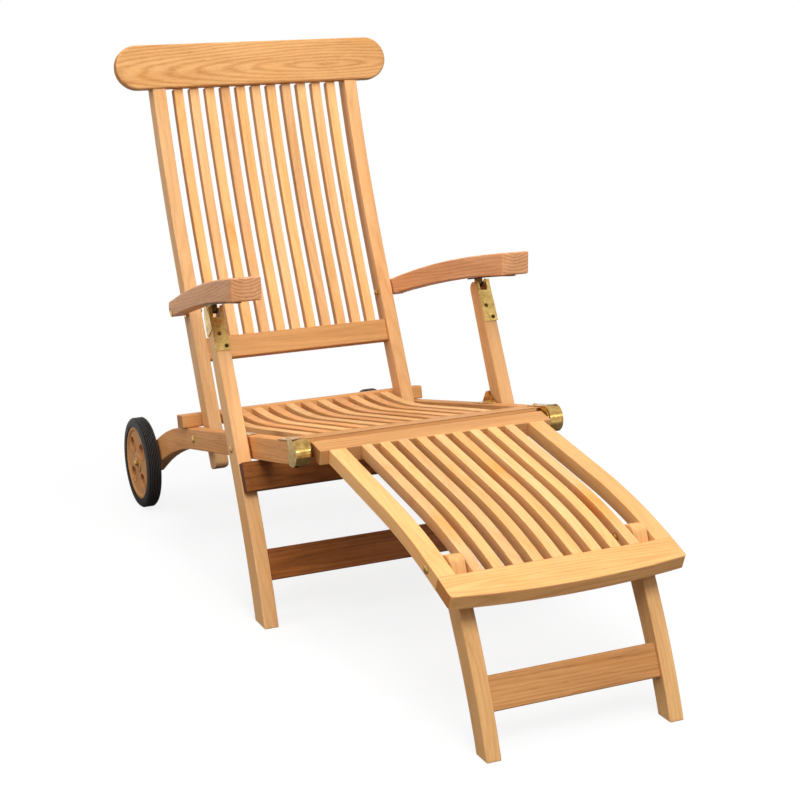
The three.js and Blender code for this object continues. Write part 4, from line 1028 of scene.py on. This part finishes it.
# Each wheel turns on a stub through the rail's tail, with a nut inside the rail and a brass cap outside
cap_face = 288.6 * MM
axle = mirrored_join("wheel_axle_steel", [
    turned("axle_stub", [(226 * MM, 6 * MM), (cap_face, 6 * MM)], AXLE, 24),
    turned("axle_nut", [(223.4 * MM, 8.6 * MM), (224 * MM, 9.4 * MM), (231.4 * MM, 9.4 * MM),
                        (231.9 * MM, 8.8 * MM)], AXLE, 6),
])
smooth(axle, 35)
settle(axle, STEEL, ["wheel_axle"])
hub_caps = mirrored_join("wheel_axle_caps", [
    turned("axle_washer", [(cap_face, 6.2 * MM), (cap_face, 11.4 * MM), (cap_face + 0.4 * MM, 12 * MM),
                           (cap_face + 1.2 * MM, 12 * MM), (cap_face + 1.6 * MM, 11.4 * MM)], AXLE, 32),
    turned("axle_cap", [(cap_face + 1.6 * MM, 7.6 * MM), (cap_face + 2.2 * MM, 8.2 * MM),
                        (cap_face + 3.6 * MM, 8.2 * MM), (cap_face + 4.2 * MM, 7.4 * MM)], AXLE, 6),
    turned("axle_dome", [(cap_face + 4.0 * MM, 6.0 * MM), (cap_face + 5.4 * MM, 5.2 * MM),
                         (cap_face + 6.3 * MM, 3.6 * MM), (cap_face + 6.8 * MM, 1.4 * MM)], AXLE, 24),
])
smooth(hub_caps, 30)
settle(hub_caps, BRASS, ["wheel_axle"])


# Stage, light and camera

def floor_paint():
    """A pale floor: near the chair it is lit and keeps the shadow, and far off it is plain white to the
    camera and to the brass. To soft light it is dark grey, so that the undersides stay dark."""
    material = bpy.data.materials.new("floor_paint")
    material.use_nodes = True
    tree = material.node_tree
    tree.nodes.clear()
    n = Nodes(tree)
    coordinates = n.add("ShaderNodeTexCoord").outputs["Object"]
    distance = n.add("ShaderNodeVectorMath", {0: coordinates}, operation="LENGTH").outputs["Value"]
    rays = n.add("ShaderNodeLightPath").outputs
    tone = n.blend(rays["Is Camera Ray"], (0.16, 0.16, 0.16, 1), (0.9, 0.9, 0.9, 1))
    paint = n.add("ShaderNodeBsdfDiffuse", {"Color": tone}).outputs[0]
    glow = n.add("ShaderNodeEmission", {"Color": (1, 1, 1, 1), "Strength": 1.0}).outputs[0]
    seen = n.maths("MULTIPLY", n.spread(distance, 0.5, 1.3, 0.8, 1.0), rays["Is Camera Ray"])
    shone = n.maths("MULTIPLY", n.spread(distance, 0.7, 1.7, 0.0, 0.95), rays["Is Glossy Ray"])
    mixed = n.add("ShaderNodeMixShader", {0: n.maths("MAXIMUM", seen, shone), 1: paint, 2: glow}).outputs[0]
    n.add("ShaderNodeOutputMaterial", {"Surface": mixed})
    return material


bpy.ops.object.select_all(action="DESELECT")
bpy.ops.mesh.primitive_plane_add(size=24, location=(0, 0, 0))
floor = place(bpy.context.object, "studio_floor")
floor.data.materials.append(floor_paint())

world = bpy.data.worlds.new("studio")
bpy.context.scene.world = world
world.use_nodes = True
world.node_tree.nodes.clear()
air = Nodes(world.node_tree)
rays = air.add("ShaderNodeLightPath").outputs
soft = air.maths("MULTIPLY", rays["Is Glossy Ray"], 0.78)
strength = air.maths("MAXIMUM", air.spread(rays["Is Camera Ray"], 0.0, 1.0, 0.32, 1.0), soft)
air.add(
    "ShaderNodeOutputWorld",
    {"Surface": air.add("ShaderNodeBackground", {"Color": (1, 1, 1, 1), "Strength": strength}).outputs[0]},
)


def lamp(name, location, target, width, height, power, gloss_only=False):
    """A soft lamp that faces a point. It lights the boards, or shows only as a band in the brass."""
    light = bpy.data.lights.new(name, "AREA")
    light.shape = "RECTANGLE"
    light.size, light.size_y = width, height
    light.energy = power
    if gloss_only:
        light.diffuse_factor = 0.0
    holder = bpy.data.objects.new(name, light)
    holder.location = location
    holder.rotation_euler = (Vector(target) - Vector(location)).to_track_quat("-Z", "Y").to_euler()
    holder.visible_glossy = gloss_only
    bpy.context.scene.collection.objects.link(holder)


lamp("key_lamp", (-0.8, -2.7, 3.5), (0, 0.0, 0.4), 1.8, 1.8, 118)
lamp("side_lamp", (-3.4, 0.2, 2.1), (0, 0.0, 0.4), 2.2, 2.2, 41)
lamp("top_lamp", (0.2, -0.4, 3.8), (0, 0, 0.3), 2.0, 2.0, 68)
lamp("strip_lamp", (1.8, -3.75, 2.25), (0, -0.2, 0.35), 2.6, 0.4, 12, gloss_only=True)

camera = bpy.data.objects.new("photo_camera", bpy.data.cameras.new("photo_camera"))
camera.data.lens = 79.153
camera.data.sensor_width = 36
camera.location = (-1.29506, AXLE[0] - 3.59742, 1.20983)
camera.rotation_euler = (
    Matrix.Rotation(-24.52 * DEGREE, 3, "Z")
    @ Matrix.Rotation(75.19 * DEGREE, 3, "X")
    @ Matrix.Rotation(-0.64 * DEGREE, 3, "Z")
).to_euler()
bpy.context.scene.collection.objects.link(camera)
bpy.context.scene.camera = camera
bpy.context.scene.view_settings.view_transform = "Standard"
